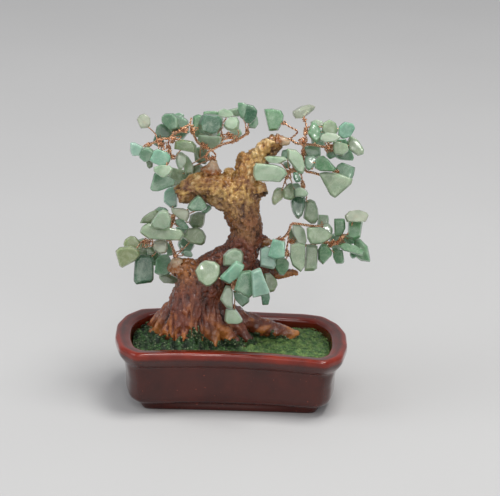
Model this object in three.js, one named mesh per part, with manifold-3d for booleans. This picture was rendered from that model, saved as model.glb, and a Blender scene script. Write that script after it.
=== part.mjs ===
// A gemstone-chip bonsai tree, in millimetres, +Z up, the base resting on z = 0.
//
// A glazed ceramic pot holds a plaster fill and a bed of moss. A painted resin trunk stands in
// the fill. Five twisted copper stems are glued into sockets in the trunk, and every stem carries
// thin copper twigs on which drilled chips of green stone are threaded.
import * as THREE from 'three';
import { ConvexGeometry } from 'three/addons/geometries/ConvexGeometry.js';
import { mergeVertices } from 'three/addons/utils/BufferGeometryUtils.js';
import Module from 'manifold-3d';

const wasm = await Module();
wasm.setup();
const { Manifold, Mesh } = wasm;

// ---- Driving dimensions -------------------------------------------------------------------

const POT_HEIGHT = 32.4;          // at the middle of the rim
const RIM_TILT = 0.0145;          // slope of the rim, whose left end stands higher
const TILT_FROM = 8;              // the height at which the tilt begins
const TILT_FULL = 26;             // the height from which the tilt is whole
const POT_RIGHT_CORNERS = [       // the right half of the rim's plan, from front to back
  [44.6, -30.8], [52.6, -22.2], [55.4, -8], [55.4, 8], [52, 19.5], [45, 28.5], [36, 30.8],
];
const FRONT_BOW = 4.5;            // how far the middle of the front bows inwards
const FOOT_BOW = 0.5;             // the same at the very bottom
const POT_FLOOR_TOP = 6;          // the pot's inside floor
const INNER_WALL = 8.2;           // inside wall, measured in from the rim's outer edge
const FIT_GAP = 0.3;              // gap between pieces that touch on the real object
const FILL_TOP = 23.2;            // top of the plaster
const MOSS_TOP = 27.3;            // mean height of the moss
const MOSS_BUMP = 0.5;            // how far the moss waves about that height
const TREE_PLACE = [-0.5, 5, 0];  // the tree's own origin, seen from the middle of the pot

const CHIP_SWELL = 1.07;          // the stones' outlines are drawn this much too small
const WIRE_RADIUS = 0.32;         // one copper twig
const STEM_RADIUS = 0.6;          // a bundle of twisted copper wires
const PLUG_RADIUS = 2.1;          // hot-melt plug in its socket
const SOCKET_RADIUS = 2.4;
const SOCKET_DEPTH = 5;

// The crown is laid out face-on: a place is [x, z] where the line of view, which slopes down by
// VIEW_SLOPE from front to back, crosses the plane y = 0. A depth y then slides it along the line.
const VIEW_SLOPE = THREE.MathUtils.degToRad(20);
const SIGHT = new THREE.Vector3(0, Math.cos(VIEW_SLOPE), -Math.sin(VIEW_SLOPE));
const UPWARD = new THREE.Vector3(0, Math.sin(VIEW_SLOPE), Math.cos(VIEW_SLOPE));

// ---- The trunk: limbs as [x, y, z, radius] from the inside outwards -----------------------

const TRUNK_LIMBS = {
  bole: [[-18, 0, 13, 13], [-18, 0, 22, 14.5], [-18, 0, 32, 14.2], [-18, 0, 40, 12.8],
    [-17.5, 0, 48, 11.8], [-14.5, 0, 56, 11.2], [-5.5, 0, 63.5, 10.4], [2.6, 0, 69.6, 9],
    [5.8, 0, 77, 7.9], [6.7, 0, 84.5, 7.5], [4.9, 0, 90, 7.8], [3.4, 0, 96.5, 8.6],
    [4.2, 0, 103.5, 7.4], [5.6, 0, 110, 5.9], [8, 0, 116.5, 5.4], [12, 0, 120.8, 4.8],
    [16, 0, 125.2, 4.5], [19.2, 0, 128.4, 3.7]],
  left_branch: [[3, 0, 97, 7.4], [-5, 0, 101.8, 8.6], [-12, 0, 105, 8], [-17.5, 0, 105, 5.8],
    [-22.5, 0, 102, 4.8], [-26, 0, 99.4, 4.6]],
  top_knob: [[-11.5, 0, 105, 5.4], [-11.2, 0, 109.5, 4.8], [-10.8, 0, 112.4, 4]],
  nub: [[-3.4, 0, 106, 4.6], [-2.2, 0, 113.3, 1.6]],
  shoulder: [[4.5, 0, 116, 4.6], [2.6, 0, 121.4, 1.4]],
  shoulder_bump: [[8, 0, 115, 4], [6.8, 0, 119.6, 2.6]],
  under_spur: [[8, -2, 116, 3.4], [14, -2.4, 116.8, 1]],
  right_knot: [[4, -1, 103.6, 5], [11, -3, 104.6, 4.2], [15, -3.6, 105, 2.4]],
  right_shoulder: [[6, 0, 78, 6.4], [12, 0, 78.2, 4.4], [16.4, 0, 77.6, 2.2]],
  low_branch: [[0, 0, 66, 8], [11, 0, 64, 4.6], [20, 0, 62, 2.9], [27, 0, 62.6, 1.9],
    [31.5, 0, 62.2, 0.8]],
  left_stub: [[-13, 0, 57, 8.4], [-20, -1, 62, 6.4], [-25, -2, 64.2, 5], [-27.6, -2.4, 65, 4.2]],
  root_left: [[-20, 2, 42, 9], [-29, 6, 36, 5.6], [-36.4, 10.6, 29, 3.2], [-39.4, 12, 25, 2.4]],
  root_left_front: [[-20, -1, 44, 8], [-29, 0.4, 35.6, 5], [-35.8, 2, 28.6, 3], [-38.4, 2.4, 24.6, 2.4]],
  root_front_1: [[-20, -3, 42, 7], [-27.4, -3.4, 34, 4.4], [-32.2, -4, 28, 2.8], [-34, -4.6, 24.4, 2.2]],
  root_front_2: [[-19, -4, 42, 7], [-22.4, -7, 34.6, 4.2], [-24.6, -8.4, 28, 2.8],
    [-25.4, -9.4, 24.4, 2.2]],
  root_front_3: [[-16, -5, 42, 7], [-16, -9.4, 34, 4], [-16.6, -11.6, 28, 2.6], [-16.8, -12.8, 24.4, 2]],
  root_front_4: [[-14, -4, 42, 7], [-9.4, -8.6, 34, 3.8], [-7.6, -11, 28, 2.6], [-7, -12.4, 24.4, 2]],
  root_front_5: [[-12, -3, 43, 7], [-2.6, -6.6, 34.4, 3.5], [4.6, -11, 28, 2.4], [7, -12.6, 24.6, 1.8]],
  root_front_6: [[-10, 0, 43, 7], [2, -2.4, 35, 3.4], [10, -6.2, 28.4, 2.2], [12.6, -7.6, 24.8, 1.7]],
  root_right_long: [[-12, 2, 42, 8], [0, 3.4, 38, 5.4], [12, 4, 33.6, 4], [23, 3.8, 30.6, 3.3],
    [32, 3, 28.6, 2.1]],
  root_back_1: [[-12, 4, 42, 7], [-3, 9, 33, 4], [3.4, 13.6, 25.6, 2]],
  root_back_2: [[-17, 5, 42, 7], [-15, 10, 33, 4.4], [-14, 14.6, 25.6, 2.2]],
  root_back_3: [[-20, 4, 42, 7], [-26, 9.6, 33, 4.4], [-30.4, 14, 25.6, 2.2]],
};
const KNOT_HOLE = { at: [13.4, -6.6, 104], radius: 1.1, depth: 3 };

// ---- Stems: a socket in the trunk, and runs of twisted wire as [x, z, y] ------------------

const STEMS = {
  upper_left: {
    socket: { at: [-10.8, 0, 113.2], towards: [0.2, 0, 1], mound: 3.9, rise: 4.6 },
    runs: [
      [[-10.8, 116.4, 0], [-9.8, 119, 0], [-12.8, 118.4, 0], [-14, 119.4, 0], [-12.8, 121.8, 0],
        [-11.2, 122.8, 0]],
      [[-9.8, 119, 0], [-9.2, 120.2, 0], [-10.2, 121.4, 0], [-11.2, 122.8, 0]],
      [[-11.2, 122.8, 0], [-7, 125.2, 0], [-2, 126.9, 1], [1.6, 128.8, 1], [4.6, 131, 0],
        [5.6, 133, 0]],
      [[-7, 125.2, 0], [-6.2, 129, 0], [-7, 132, 0], [-7, 135.6, 1]],
      [[-11.2, 122.8, 0], [-15, 124.6, 3], [-18, 126.4, 4], [-20, 130.6, 0], [-21.6, 134.4, -2],
        [-25, 131.8, -3], [-28.6, 130.4, -3], [-31, 127.6, -3], [-34, 127.2, -3],
        [-37, 126, -2], [-39.6, 124.9, -1], [-41.4, 123.9, 0]],
      [[-31, 127.6, -3], [-31.4, 124.6, -3], [-30.6, 121, -3], [-29, 118, -3]],
      [[-21.6, 134.4, -2], [-20.9, 138, 0]],
    ],
  },
  lower_left: {
    socket: { at: [-26.2, -3.4, 66.6], towards: [-0.25, -0.3, 1], mound: 5.2, rise: 3.4 },
    runs: [
      [[-27.2, 66, -3], [-27.4, 70, -3.4], [-28.4, 73.4, -4], [-30, 77.6, -3], [-30.4, 82, -3],
        [-29.2, 86, -3], [-28.4, 90, -2]],
      [[-30, 77.6, -3], [-34, 75.6, -2], [-38, 76.2, -3], [-43, 76.2, -3]],
    ],
  },
  upper_right: {
    socket: { at: [20, -1, 128.5], towards: [1, 0, -0.1], mound: 3.3, rise: 5 },
    runs: [
      [[19, 128.2, -1], [22.4, 128, -1], [25, 129, -1], [28, 127.2, -1], [31.6, 127, -1]],
      [[31.6, 127, -1], [32.2, 131, 0], [32.4, 136, 1], [31.4, 140, 2]],
      [[25, 129, -1], [28.4, 132.6, -2], [24.4, 135.2, -1], [21.4, 137.2, 0]],
      [[31.6, 127, -1], [36, 126.4, -2], [41, 125.6, -2], [45, 126, -2], [49, 128, -2]],
      [[31.6, 127, -1], [31.6, 121, 0], [31.8, 115.6, -1], [30.8, 112.6, -2], [26.6, 113.6, -3],
        [24, 112, -3], [24.6, 109.4, -3]],
      [[31.8, 115.6, -1], [33.4, 113.4, -3], [36, 112.8, -4], [41, 111.6, -4], [46.4, 111.8, -4]],
      [[30.8, 112.6, -2], [31.6, 108.4, -2], [32.4, 104.6, -2]],
    ],
  },
  right_mid: {
    socket: { at: [15.8, -1, 78.2], towards: [1, -0.1, 0.2], mound: 2.4, rise: 2 },
    runs: [
      [[16.2, 77.9, -1], [19.8, 78.8, -1], [23.6, 80.2, -3], [26, 83.4, -4], [27.4, 87, -4],
        [31, 87.2, -4], [36, 86.6, -4], [40.4, 86, -4]],
      [[26, 83.4, -4], [26, 79.4, -5], [25.4, 75, -6], [25.6, 71, -7]],
      [[26, 79.4, -5], [30, 77, 0], [36, 76.8, 0], [42, 78.4, -1], [46.4, 78.4, -2],
        [50, 79, -2], [52.4, 82.4, -2]],
    ],
  },
  front_low: {
    socket: { at: [-1.6, -9.8, 62], towards: [0.1, -1, 0.1], mound: 3, rise: 2 },
    runs: [
      [[-1, 58.6, -9], [-0.6, 58.2, -12.4], [1.4, 57, -15], [3, 56.4, -17]],
    ],
  },
};

// ---- Stones: for every twig, its chips from the stem outwards. A chip has a depth y, a
// thickness and its outline, the corners [x, z] that it shows face-on. --------------------

const TWIGS = {
  upper_left: [
    [
      [-1, 5.4, [[-44.8, 121], [-42.8, 122.8], [-40.4, 123.2], [-37.8, 121], [-39.4, 116.4],
        [-42.8, 115.8], [-44.8, 117.6]]],
      [-2, 5, [[-49, 125], [-46.4, 124.8], [-43, 123], [-44.8, 118.4], [-48, 118.4], [-49, 121]]],
      [3, 4, [[-42.4, 118], [-38.6, 118], [-38.8, 113.6], [-40.3, 112.5], [-41.3, 113.5]]],
    ],
    [
      [-5, 6, [[-37.8, 121.2], [-36, 122], [-32, 120.6], [-30.2, 118.6], [-30.4, 116.4], [-32.5, 114],
        [-34.5, 113.5], [-38, 115], [-39.6, 116.5]]],
      [-8, 5, [[-37.5, 112.8], [-34, 114], [-30.2, 113.8], [-28.8, 112], [-30, 109.5], [-32.5, 107.8],
        [-34, 108], [-37.3, 110.5]]],
      [-2, 5, [[-39.4, 102.8], [-37.8, 110], [-36, 111.6], [-32, 109], [-28, 107.2], [-28.2, 105],
        [-32.4, 103.4], [-35.6, 101.6], [-38.2, 101.6]]],
    ],
    [
      [3, 6, [[-37.3, 133.8], [-35.4, 135.2], [-32, 134.5], [-30.2, 131], [-31, 128], [-35, 127.6],
        [-38, 130]]],
      [8, 5, [[-39, 127.6], [-38, 130], [-35, 129.2], [-33.6, 126], [-36, 123.5], [-38.8, 125]]],
      [0, 6, [[-46.4, 136.4], [-45, 138.6], [-42.8, 139.4], [-40.2, 137.6], [-40, 134], [-41, 132.5],
        [-44.4, 132.2]]],
    ],
    [
      [4, 6, [[-28, 138.4], [-25.4, 139], [-22.6, 137], [-22.3, 133], [-25, 130.8], [-28.4, 131.4]]],
      [0, 7, [[-33.4, 139.8], [-29.4, 140], [-26.8, 137.4], [-26.6, 132.4], [-30.2, 131],
        [-34.9, 135.6], [-34.9, 138]]],
      [7, 4, [[-29.6, 140.4], [-27, 141.2], [-24.6, 140.2], [-25.4, 138.2], [-29, 138.6]]],
      [12, 6, [[-30, 135], [-25, 136], [-22, 132], [-25, 128], [-30, 129]]],
    ],
    [
      [-6, 6, [[-28, 126], [-25, 127], [-20.2, 126.3], [-18.3, 124], [-18.8, 120.6], [-22.5, 121.2],
        [-28.3, 122.3]]],
      [-3, 5, [[-27.5, 120.8], [-25, 121], [-23, 119.2], [-22.8, 116.2], [-24, 114], [-25, 112.3],
        [-26.5, 112.5], [-27.8, 116]]],
    ],
    [
      [2, 5, [[-23.6, 120.4], [-22, 119], [-19.4, 114.6], [-20, 110.6], [-23.4, 110.4], [-24.6, 115]]],
      [6, 7, [[-30.4, 114.4], [-26, 114], [-21.4, 112.6], [-21, 109.6], [-22.4, 107], [-27, 105],
        [-31.8, 105], [-32, 108.6]]],
    ],
    [
      [4, 6, [[-20.4, 115], [-16.8, 116.2], [-15.2, 114.6], [-15.8, 111.6], [-18.6, 109],
        [-22.6, 107.8], [-22, 111]]],
      [12, 6, [[-20, 124], [-15, 125], [-12, 121], [-14, 116], [-19, 117]]],
    ],
    [
      [0, 5, [[-20.3, 139], [-18, 140.2], [-16, 139.4], [-15.5, 136], [-16.5, 131.4], [-19.5, 131],
        [-20.5, 134]]],
      [-4, 8, [[-16.3, 138], [-15, 139.3], [-8.5, 139.2], [-6.4, 137.3], [-6.8, 133], [-9, 129.6],
        [-12, 129], [-16.5, 130.6], [-17.4, 134]]],
      [3, 4, [[-15.4, 141.4], [-10, 142], [-7.5, 141], [-7, 138.6], [-11, 138], [-15.4, 138.6]]],
      [10, 6, [[-21, 136], [-16, 138], [-13, 134], [-15, 129], [-20, 130]]],
    ],
    [
      [0, 5, [[-17.5, 130.4], [-11, 130.4], [-7.2, 130], [-6.8, 128], [-8.5, 124.8], [-11, 123.2],
        [-14, 124.4], [-18, 126.5]]],
      [8, 6, [[-14, 132], [-9, 133], [-5, 130], [-7, 125], [-12, 126]]],
    ],
    [
      [-3, 6, [[-5.3, 136], [-3, 138.5], [0, 138.5], [1.2, 136], [1, 133], [-1, 131.4], [-4, 132],
        [-5.6, 133.6]]],
      [-2, 4, [[-8.4, 141.6], [-6, 142.8], [-2.4, 141.4], [-1.4, 139.6], [-3, 138.6], [-6.4, 138.4],
        [-8.4, 139.5]]],
    ],
    [
      [4, 5, [[-6, 142.4], [-3, 143.6], [0.5, 144.2], [2, 142], [1.5, 139.6], [-3, 139.4], [-6, 140.4]]],
      [8, 5, [[-3, 132.5], [1.5, 134], [3, 131.4], [1, 129], [-1, 128.4], [-2.8, 129.5]]],
    ],
    [
      [0, 6, [[0.3, 146.3], [3, 146.2], [5.4, 144.6], [5.4, 141.5], [3.6, 137.4], [1.6, 139], [0.5, 142]]],
      [-3, 5, [[4.6, 144.8], [7.5, 144.2], [9.4, 141.8], [9, 138.5], [6.8, 135.6], [4.4, 135.8],
        [3.4, 137.4]]],
      [1, 5, [[8.2, 141], [9.8, 139.5], [10.3, 136], [9, 133.7], [6.5, 133.8], [5.6, 135.4]]],
    ],
  ],
  lower_left: [
    [
      [-8, 5, [[-35, 91], [-33, 92.2], [-30.6, 91.4], [-29, 87.5], [-29.4, 84], [-32, 82.6],
        [-37, 83.4], [-38.2, 86]]],
      [-4, 5, [[-44, 85.4], [-42.5, 88.5], [-39.4, 91], [-36.4, 92.4], [-35, 90.6], [-36.5, 87.6],
        [-39, 85.5]]],
    ],
    [
      [1, 6, [[-38, 92], [-35.5, 94], [-32.4, 93.5], [-31, 92], [-32, 88.6], [-36.6, 88.4]]],
      [5, 6, [[-33.3, 101.4], [-31, 104.2], [-27.2, 104.2], [-27, 94.4], [-30, 93.7], [-33.4, 96.5]]],
    ],
    [
      [-5, 7, [[-42.5, 83.5], [-39.6, 85.4], [-35, 83.6], [-29, 82.6], [-24.5, 82.5], [-23.4, 80],
        [-25, 77.2], [-32, 77], [-39, 77.6], [-43.3, 80.6]]],
      [7, 6, [[-40, 84], [-35, 86], [-31, 82], [-34, 77], [-39, 78]]],
      [12, 6, [[-28, 84], [-23, 86], [-20, 82], [-22, 77], [-27, 78]]],
    ],
    [
      [-6, 5, [[-29.4, 93.4], [-24, 93.3], [-21, 92.3], [-20.8, 89.5], [-22, 86.8], [-26, 88.4],
        [-29, 91]]],
      [-10, 6, [[-17.2, 100], [-15.5, 99.2], [-13, 95.5], [-13, 93.5], [-15, 92.2], [-20, 92],
        [-21.8, 93.6], [-20.5, 96.5]]],
    ],
    [
      [-3, 4, [[-27.5, 87.8], [-24, 88], [-21.2, 84.6], [-22, 82.6], [-25, 83.4], [-27.5, 86]]],
      [1, 6, [[-20.6, 90.4], [-17, 92], [-13.6, 91.5], [-14, 86], [-15.2, 84], [-19, 83.6], [-21.4, 86.4]]],
      [3, 5, [[-14.4, 96.6], [-10.8, 95.3], [-10.5, 93.5], [-13, 91.2], [-15.4, 92]]],
    ],
    [
      [0, 7, [[-22.5, 83.2], [-17, 84], [-14.5, 82.6], [-12.9, 79.5], [-13.5, 76.5], [-15, 75.2],
        [-20, 76], [-24, 79]]],
      [7, 6, [[-25.6, 79], [-22, 80], [-19, 77], [-18.5, 74.8], [-20, 72], [-21.5, 70.8], [-25, 71.5],
        [-26.5, 75]]],
      [2, 5, [[-23, 73], [-20.2, 72.6], [-18.9, 70], [-19.5, 68.7], [-23.5, 69.5], [-25, 71]]],
    ],
    [
      [1, 4, [[-31.4, 76], [-29, 75.6], [-28, 72], [-28.6, 69.6], [-31, 69.4], [-31.8, 72.5]]],
      [-6, 5, [[-37, 76.8], [-33, 77.8], [-30.9, 76.4], [-30.8, 73], [-31.8, 70.7], [-34.5, 70.3],
        [-37, 71.8], [-37.8, 74.5]]],
      [-2, 4, [[-41, 72.6], [-38.5, 74], [-36.5, 72.5], [-37.5, 70], [-40.3, 69.6]]],
      [-4, 6, [[-46, 66.6], [-43.6, 69.2], [-39, 69.4], [-37.6, 67.6], [-37.2, 57.6], [-38.2, 56],
        [-45, 54.9], [-46.2, 56.6]]],
    ],
    [
      [8, 6, [[-48, 76], [-43, 78], [-40, 74], [-42, 69], [-47, 70]]],
      [-3, 5, [[-51.8, 74.6], [-51, 77], [-48.5, 78.8], [-46.3, 78.4], [-44, 76], [-43.4, 72.6],
        [-46, 71], [-50.6, 71.6]]],
      [-6, 6, [[-54.9, 71], [-53, 73], [-48, 73.8], [-44.4, 72], [-43.4, 69.5], [-46, 66.5],
        [-51.5, 63], [-53, 64]]],
    ],
    [
      [2, 6, [[-36.5, 67.4], [-34.6, 69.8], [-31, 70], [-29.4, 67], [-29.2, 61.4], [-31, 59.6],
        [-35, 59.6], [-37.2, 60.6]]],
      [7, 5, [[-35.5, 60.8], [-31, 60.4], [-27, 58.6], [-24.8, 56.8], [-28, 55], [-33, 55.3], [-35, 57.5]]],
      [13, 6, [[-42, 72], [-37, 73], [-34, 69], [-37, 64], [-42, 66]]],
    ],
  ],
  upper_right: [
    [
      [0, 6, [[12.7, 143.5], [16.5, 143.8], [20.5, 143], [22, 140.5], [21.5, 137.5], [19.5, 133.4],
        [15.2, 133], [14.3, 137]]],
    ],
    [
      [1, 4.6, [[26, 143], [28.5, 144.3], [30.6, 143.4], [31.8, 141], [30.8, 139.6], [27.5, 139.3],
        [26.2, 141]]],
      [4, 4, [[30, 146], [34, 147], [36.8, 146], [36, 144], [33, 142.2], [30.4, 143]]],
    ],
    [
      [-4, 5, [[35, 137.6], [37, 137.2], [39.3, 133], [38.8, 129], [37.4, 127.4], [35, 128.8], [33, 132]]],
      [3, 4.4, [[34.5, 138], [37, 139.3], [40.5, 138.3], [41, 136], [38.5, 134.6], [35, 135.6]]],
      [-1, 5, [[40.4, 137.4], [43, 139], [46, 137.4], [47.3, 134], [46, 131.6], [41, 131.6], [39.8, 134]]],
      [-3, 5, [[47.5, 135.5], [50, 138], [54, 137.3], [55, 134.8], [53, 131], [49.5, 129.8],
        [47.4, 131.6]]],
    ],
    [
      [-7, 4.6, [[38.8, 128.5], [39.5, 131], [42, 132.3], [46.4, 131.5], [48.2, 130], [46, 128],
        [41, 127.3]]],
      [-4, 5, [[45.6, 128.4], [51.5, 127.2], [52.3, 124], [50, 121.6], [46, 122], [45, 125]]],
    ],
    [
      [0, 4, [[42.5, 124.6], [46, 124], [47, 121], [44, 119.7], [42.3, 121.5]]],
      [6, 5, [[52, 126], [54.5, 125], [56, 121.5], [55.5, 119.8], [50, 120], [46.8, 121.5], [48.5, 124.4]]],
      [4, 5, [[46.5, 130], [51.6, 130.4], [53, 127], [50, 125], [46, 125.5], [45.5, 128]]],
      [1, 5.6, [[53.4, 132], [57, 129.5], [59.8, 125], [59.8, 122.8], [57, 121.8], [53.2, 124.6],
        [52, 128]]],
    ],
    [
      [5, 5.6, [[31.4, 126], [35, 127], [39.5, 126.4], [40, 122], [38.5, 120.5], [34, 120], [31.6, 122.5]]],
      [11, 6, [[35, 134], [40, 135], [44, 131], [41, 126], [36, 127]]],
    ],
    [
      [-1, 5, [[32.6, 120.8], [36.6, 121.4], [38.2, 119.4], [37, 115.8], [34.6, 113.8], [32.9, 114.8],
        [32.2, 118]]],
      [-5, 5.6, [[38.4, 120.6], [41, 121], [42.5, 119.5], [46.4, 114.5], [45.5, 113.4], [39.2, 113.6],
        [37, 114.8], [37.2, 118]]],
      [2, 4, [[41.6, 121], [43.2, 120.6], [47.6, 115.6], [46.6, 113.8], [42.4, 115.4]]],
      [-1, 6, [[48, 117], [50, 118.3], [53, 117.5], [56, 116], [55.4, 112], [53.5, 107.7], [49, 108.6],
        [46.2, 112.5]]],
    ],
    [
      [-7, 6, [[39.2, 112], [42, 113], [48, 112.5], [54.4, 110], [53.8, 107.5], [49, 103],
        [46.8, 100.6], [44.5, 102], [41.5, 106.5]]],
      [4, 6, [[44, 110], [49, 111], [52, 107], [49, 102], [44, 104]]],
    ],
    [
      [-7, 5, [[24, 124], [28, 123.5], [31, 120.6], [32.4, 115.2], [31.4, 112], [29, 112.5],
        [26.6, 116.6], [24.2, 119]]],
      [-1, 4, [[21.6, 123.5], [24.5, 124.3], [25, 120], [23, 118.4], [21.2, 120]]],
      [-9, 5, [[13.5, 119.5], [15.5, 120.3], [18.5, 119.4], [22.5, 120], [24, 118.5], [20.5, 116.4],
        [16, 116.5], [14, 118]]],
    ],
    [
      [-8, 4, [[26.8, 112.3], [29, 112.5], [30.6, 109.6], [30.2, 107.8], [28.2, 107.3], [26.9, 109.5]]],
      [-10, 6.4, [[9.8, 116.4], [13, 115.6], [18.5, 115.8], [22.6, 114], [24, 111.6], [22, 109.2],
        [20.8, 107.6], [10, 108], [8.7, 110.5], [8.8, 114.6]]],
    ],
    [
      [2, 4, [[22.4, 117.6], [24.5, 118.2], [26.2, 116.5], [25, 114.6], [22.8, 115]]],
    ],
    [
      [-4, 5, [[22.6, 104], [25, 107], [27, 107.4], [27.8, 104], [28.2, 100.4], [26.5, 98.8], [23, 99.6]]],
      [-2, 5, [[18.5, 103.5], [20, 105], [22.6, 105], [23.6, 102], [22.5, 99.4], [19.2, 96.3], [18, 97],
        [17.5, 99.5]]],
      [8, 6, [[25, 107], [30, 108], [33, 104], [30, 99], [26, 101]]],
    ],
    [
      [-4, 4.4, [[28, 104.4], [31, 105.3], [33.4, 104], [34.4, 102.2], [33.5, 100.8], [28.6, 100.6]]],
      [-1, 5.6, [[27.5, 100.8], [30, 101.2], [33.2, 100.8], [33.4, 97], [32, 91.6], [30.5, 89.8],
        [29, 90.5], [27.3, 93.5], [26.5, 98]]],
      [0, 5.6, [[33.6, 98.4], [35.5, 99.8], [38, 98.8], [39.5, 95], [40, 90.6], [38.5, 87.8],
        [36.5, 87.6], [32.8, 90.5], [32.8, 94]]],
    ],
  ],
  right_mid: [
    [
      [-10, 6, [[18.5, 79.3], [24.3, 78], [24.6, 74], [24.4, 70.3], [20, 69.4], [16.4, 70.6], [17, 75]]],
      [-7, 5.6, [[13, 74], [15.5, 75.5], [18, 75], [20, 70.5], [20.6, 66.8], [19.4, 64.4], [13.2, 65.5],
        [12.8, 70]]],
      [-6, 5, [[20.6, 69.6], [25, 69.8], [26.8, 67.5], [26.5, 64.5], [24.5, 61.3], [22.5, 61.5],
        [19.8, 65.5]]],
    ],
    [
      [-7, 6, [[27, 76.5], [30, 77.5], [33.8, 77], [34.2, 70], [33.8, 66], [32, 63.6], [28.2, 66.6],
        [26.9, 71]]],
      [-5, 6, [[34.6, 76.8], [38.5, 76.8], [39.8, 76], [40, 65.6], [38.5, 64.3], [34.2, 64], [34.4, 70]]],
    ],
    [
      [-2, 5, [[27.8, 86.6], [30.8, 87], [33.6, 84.4], [34.8, 79], [33.6, 76.4], [31, 77], [28.2, 82.6]]],
      [6, 5, [[26.6, 85], [30, 84.6], [31.8, 79.4], [29, 76.8], [26.4, 79]]],
    ],
    [
      [-1, 6, [[34.4, 85.5], [37, 86], [41, 86], [44.5, 84], [46.4, 82], [45, 80], [41, 77.7],
        [36.5, 77.5], [34.8, 80.5]]],
      [3, 4.6, [[39.5, 87.4], [45, 88.2], [47, 85.5], [46.8, 82.5], [43, 82.4], [40, 84.4]]],
      [8, 5, [[40.3, 92.5], [45, 92.3], [45.5, 90], [45, 87], [40, 87]]],
    ],
    [
      [-4, 5, [[40.2, 74.5], [42, 77.8], [44.4, 77.4], [46.8, 74], [46.8, 72], [43, 67.2], [40.6, 69.5]]],
      [3, 5, [[47.2, 76], [50, 75.4], [52.4, 74.6], [53.3, 69], [52.7, 68], [49.5, 67.8], [48, 70.5]]],
    ],
    [
      [1, 5, [[47.6, 90.4], [52.4, 90.6], [53, 86], [51.4, 82], [48, 81.4], [47.7, 85]]],
      [-3, 5, [[52.2, 92], [54.5, 94.5], [58, 95.3], [62.4, 94], [63.4, 92.5], [62, 89.2], [57, 89.2],
        [53.4, 89]]],
    ],
    [
      [0, 6, [[54.4, 90], [58, 89.5], [61, 89], [60, 85.5], [60, 81.7], [57, 80], [54.2, 81], [53.9, 86]]],
      [7, 5, [[53.4, 82.4], [57.6, 82.4], [58.6, 78.6], [55, 77.2], [53, 79.4]]],
      [9, 6, [[46, 82], [51, 84], [54, 79], [51, 75], [47, 76]]],
    ],
    [
      [-5, 5, [[49.6, 76.8], [52, 78.4], [58, 77.2], [61.8, 74.6], [61, 72.2], [56, 73.2], [52, 74.6]]],
      [1, 6, [[58, 81], [60.5, 80.4], [64, 77], [65.4, 70], [65, 69.4], [61, 69.8], [58.6, 71.6],
        [57.4, 76]]],
      [3, 4, [[55.8, 74.4], [58.8, 73.4], [58.8, 71], [57.3, 70.3], [56, 71.8]]],
    ],
  ],
  front_low: [
    [
      [-16, 7, [[-5.5, 60], [-3, 63.5], [1.5, 68], [5.2, 66.2], [5.4, 64.8], [2.5, 59.6], [-1.3, 56.6],
        [-5, 58.5]]],
      [-12, 6, [[-4.4, 70.5], [-2, 73.2], [1, 74.2], [4, 73.2], [4.9, 71], [4.7, 66.4], [1, 64.4],
        [-4.2, 65.6]]],
      [-14, 6, [[-17.4, 62.3], [-15.5, 65.5], [-12.5, 67.6], [-8.2, 67], [-6, 65], [-5.9, 61],
        [-7.5, 57.6], [-10, 55.3], [-12, 54.9], [-15.5, 57.5]]],
    ],
    [
      [-14, 5.6, [[-4, 53], [-3, 55.2], [-0.5, 55.2], [0.5, 52.4], [0.8, 46], [0.6, 44], [-2.3, 44.4],
        [-5.4, 48.5]]],
      [-14, 5.6, [[-2.5, 43.4], [2, 43.7], [3.5, 41.6], [5.7, 38.3], [5.4, 37], [3.5, 36], [-1.5, 35.9],
        [-2.9, 37.5]]],
    ],
    [
      [-16, 7, [[3.6, 62.4], [8.3, 63.4], [10, 60], [10, 52], [8, 50], [4.2, 51.5], [1.2, 53.6],
        [2.8, 58]]],
      [-17, 7, [[8.8, 63], [12.3, 64.7], [13.3, 64], [17.4, 54], [17.2, 52.4], [13, 50.9], [9.8, 50.4],
        [9.6, 57]]],
    ],
    [
      [-13, 5.6, [[0.7, 52.6], [3, 53], [8.3, 50.4], [8.3, 47.5], [5.3, 44.8], [2.2, 48], [1.2, 50]]],
      [-11, 5, [[13.6, 52], [17.7, 52.4], [18.1, 50], [17.5, 46.4], [14.6, 46.1], [14, 48.5]]],
      [-9, 5.6, [[15, 61.8], [18, 62.1], [21.2, 59], [21.7, 56.5], [20, 53.2], [17.5, 52.4], [15.5, 55]]],
    ],
  ],
};

// ---- Shared helpers -----------------------------------------------------------------------

/** A repeatable number from 0 to 1 for a whole number and a salt. */
function chance(index, salt) {
  const wave = Math.sin(index * 12.9898 + salt * 78.233) * 43758.5453;
  return wave - Math.floor(wave);
}

/** Turns a three.js geometry, once its shared corners are joined, into a solid. */
function solidFrom(geometry) {
  const bare = new THREE.BufferGeometry();
  bare.setAttribute('position', geometry.getAttribute('position').clone());
  if (geometry.index) bare.setIndex(geometry.index.clone());
  const joined = mergeVertices(bare, 1e-4);
  const corners = [];
  const index = joined.index.array;
  for (let i = 0; i < index.length; i += 3) {
    const [a, b, c] = [index[i], index[i + 1], index[i + 2]];
    if (a !== b && b !== c && c !== a) corners.push(a, b, c);
  }
  return new Manifold(new Mesh({
    numProp: 3,
    vertProperties: new Float32Array(joined.getAttribute('position').array),
    triVerts: new Uint32Array(corners),
  }));
}

/** The named three.js mesh of a finished solid, moved from the tree's own frame to the pot's. */
function meshOf(name, solid, material) {
  const data = solid.getMesh();
  const geometry = new THREE.BufferGeometry();
  geometry.setAttribute('position', new THREE.BufferAttribute(data.vertProperties.slice(), 3));
  geometry.setIndex(new THREE.BufferAttribute(data.triVerts.slice(), 1));
  geometry.translate(...TREE_PLACE);
  geometry.computeVertexNormals();
  const mesh = new THREE.Mesh(geometry, material);
  mesh.name = name;
  return mesh;
}

/** The place in space of a face-on spot [x, z] slid along the line of view to depth y. */
function placed(x, z, y) {
  return new THREE.Vector3(x, y, z - y * Math.tan(VIEW_SLOPE));
}

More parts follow.
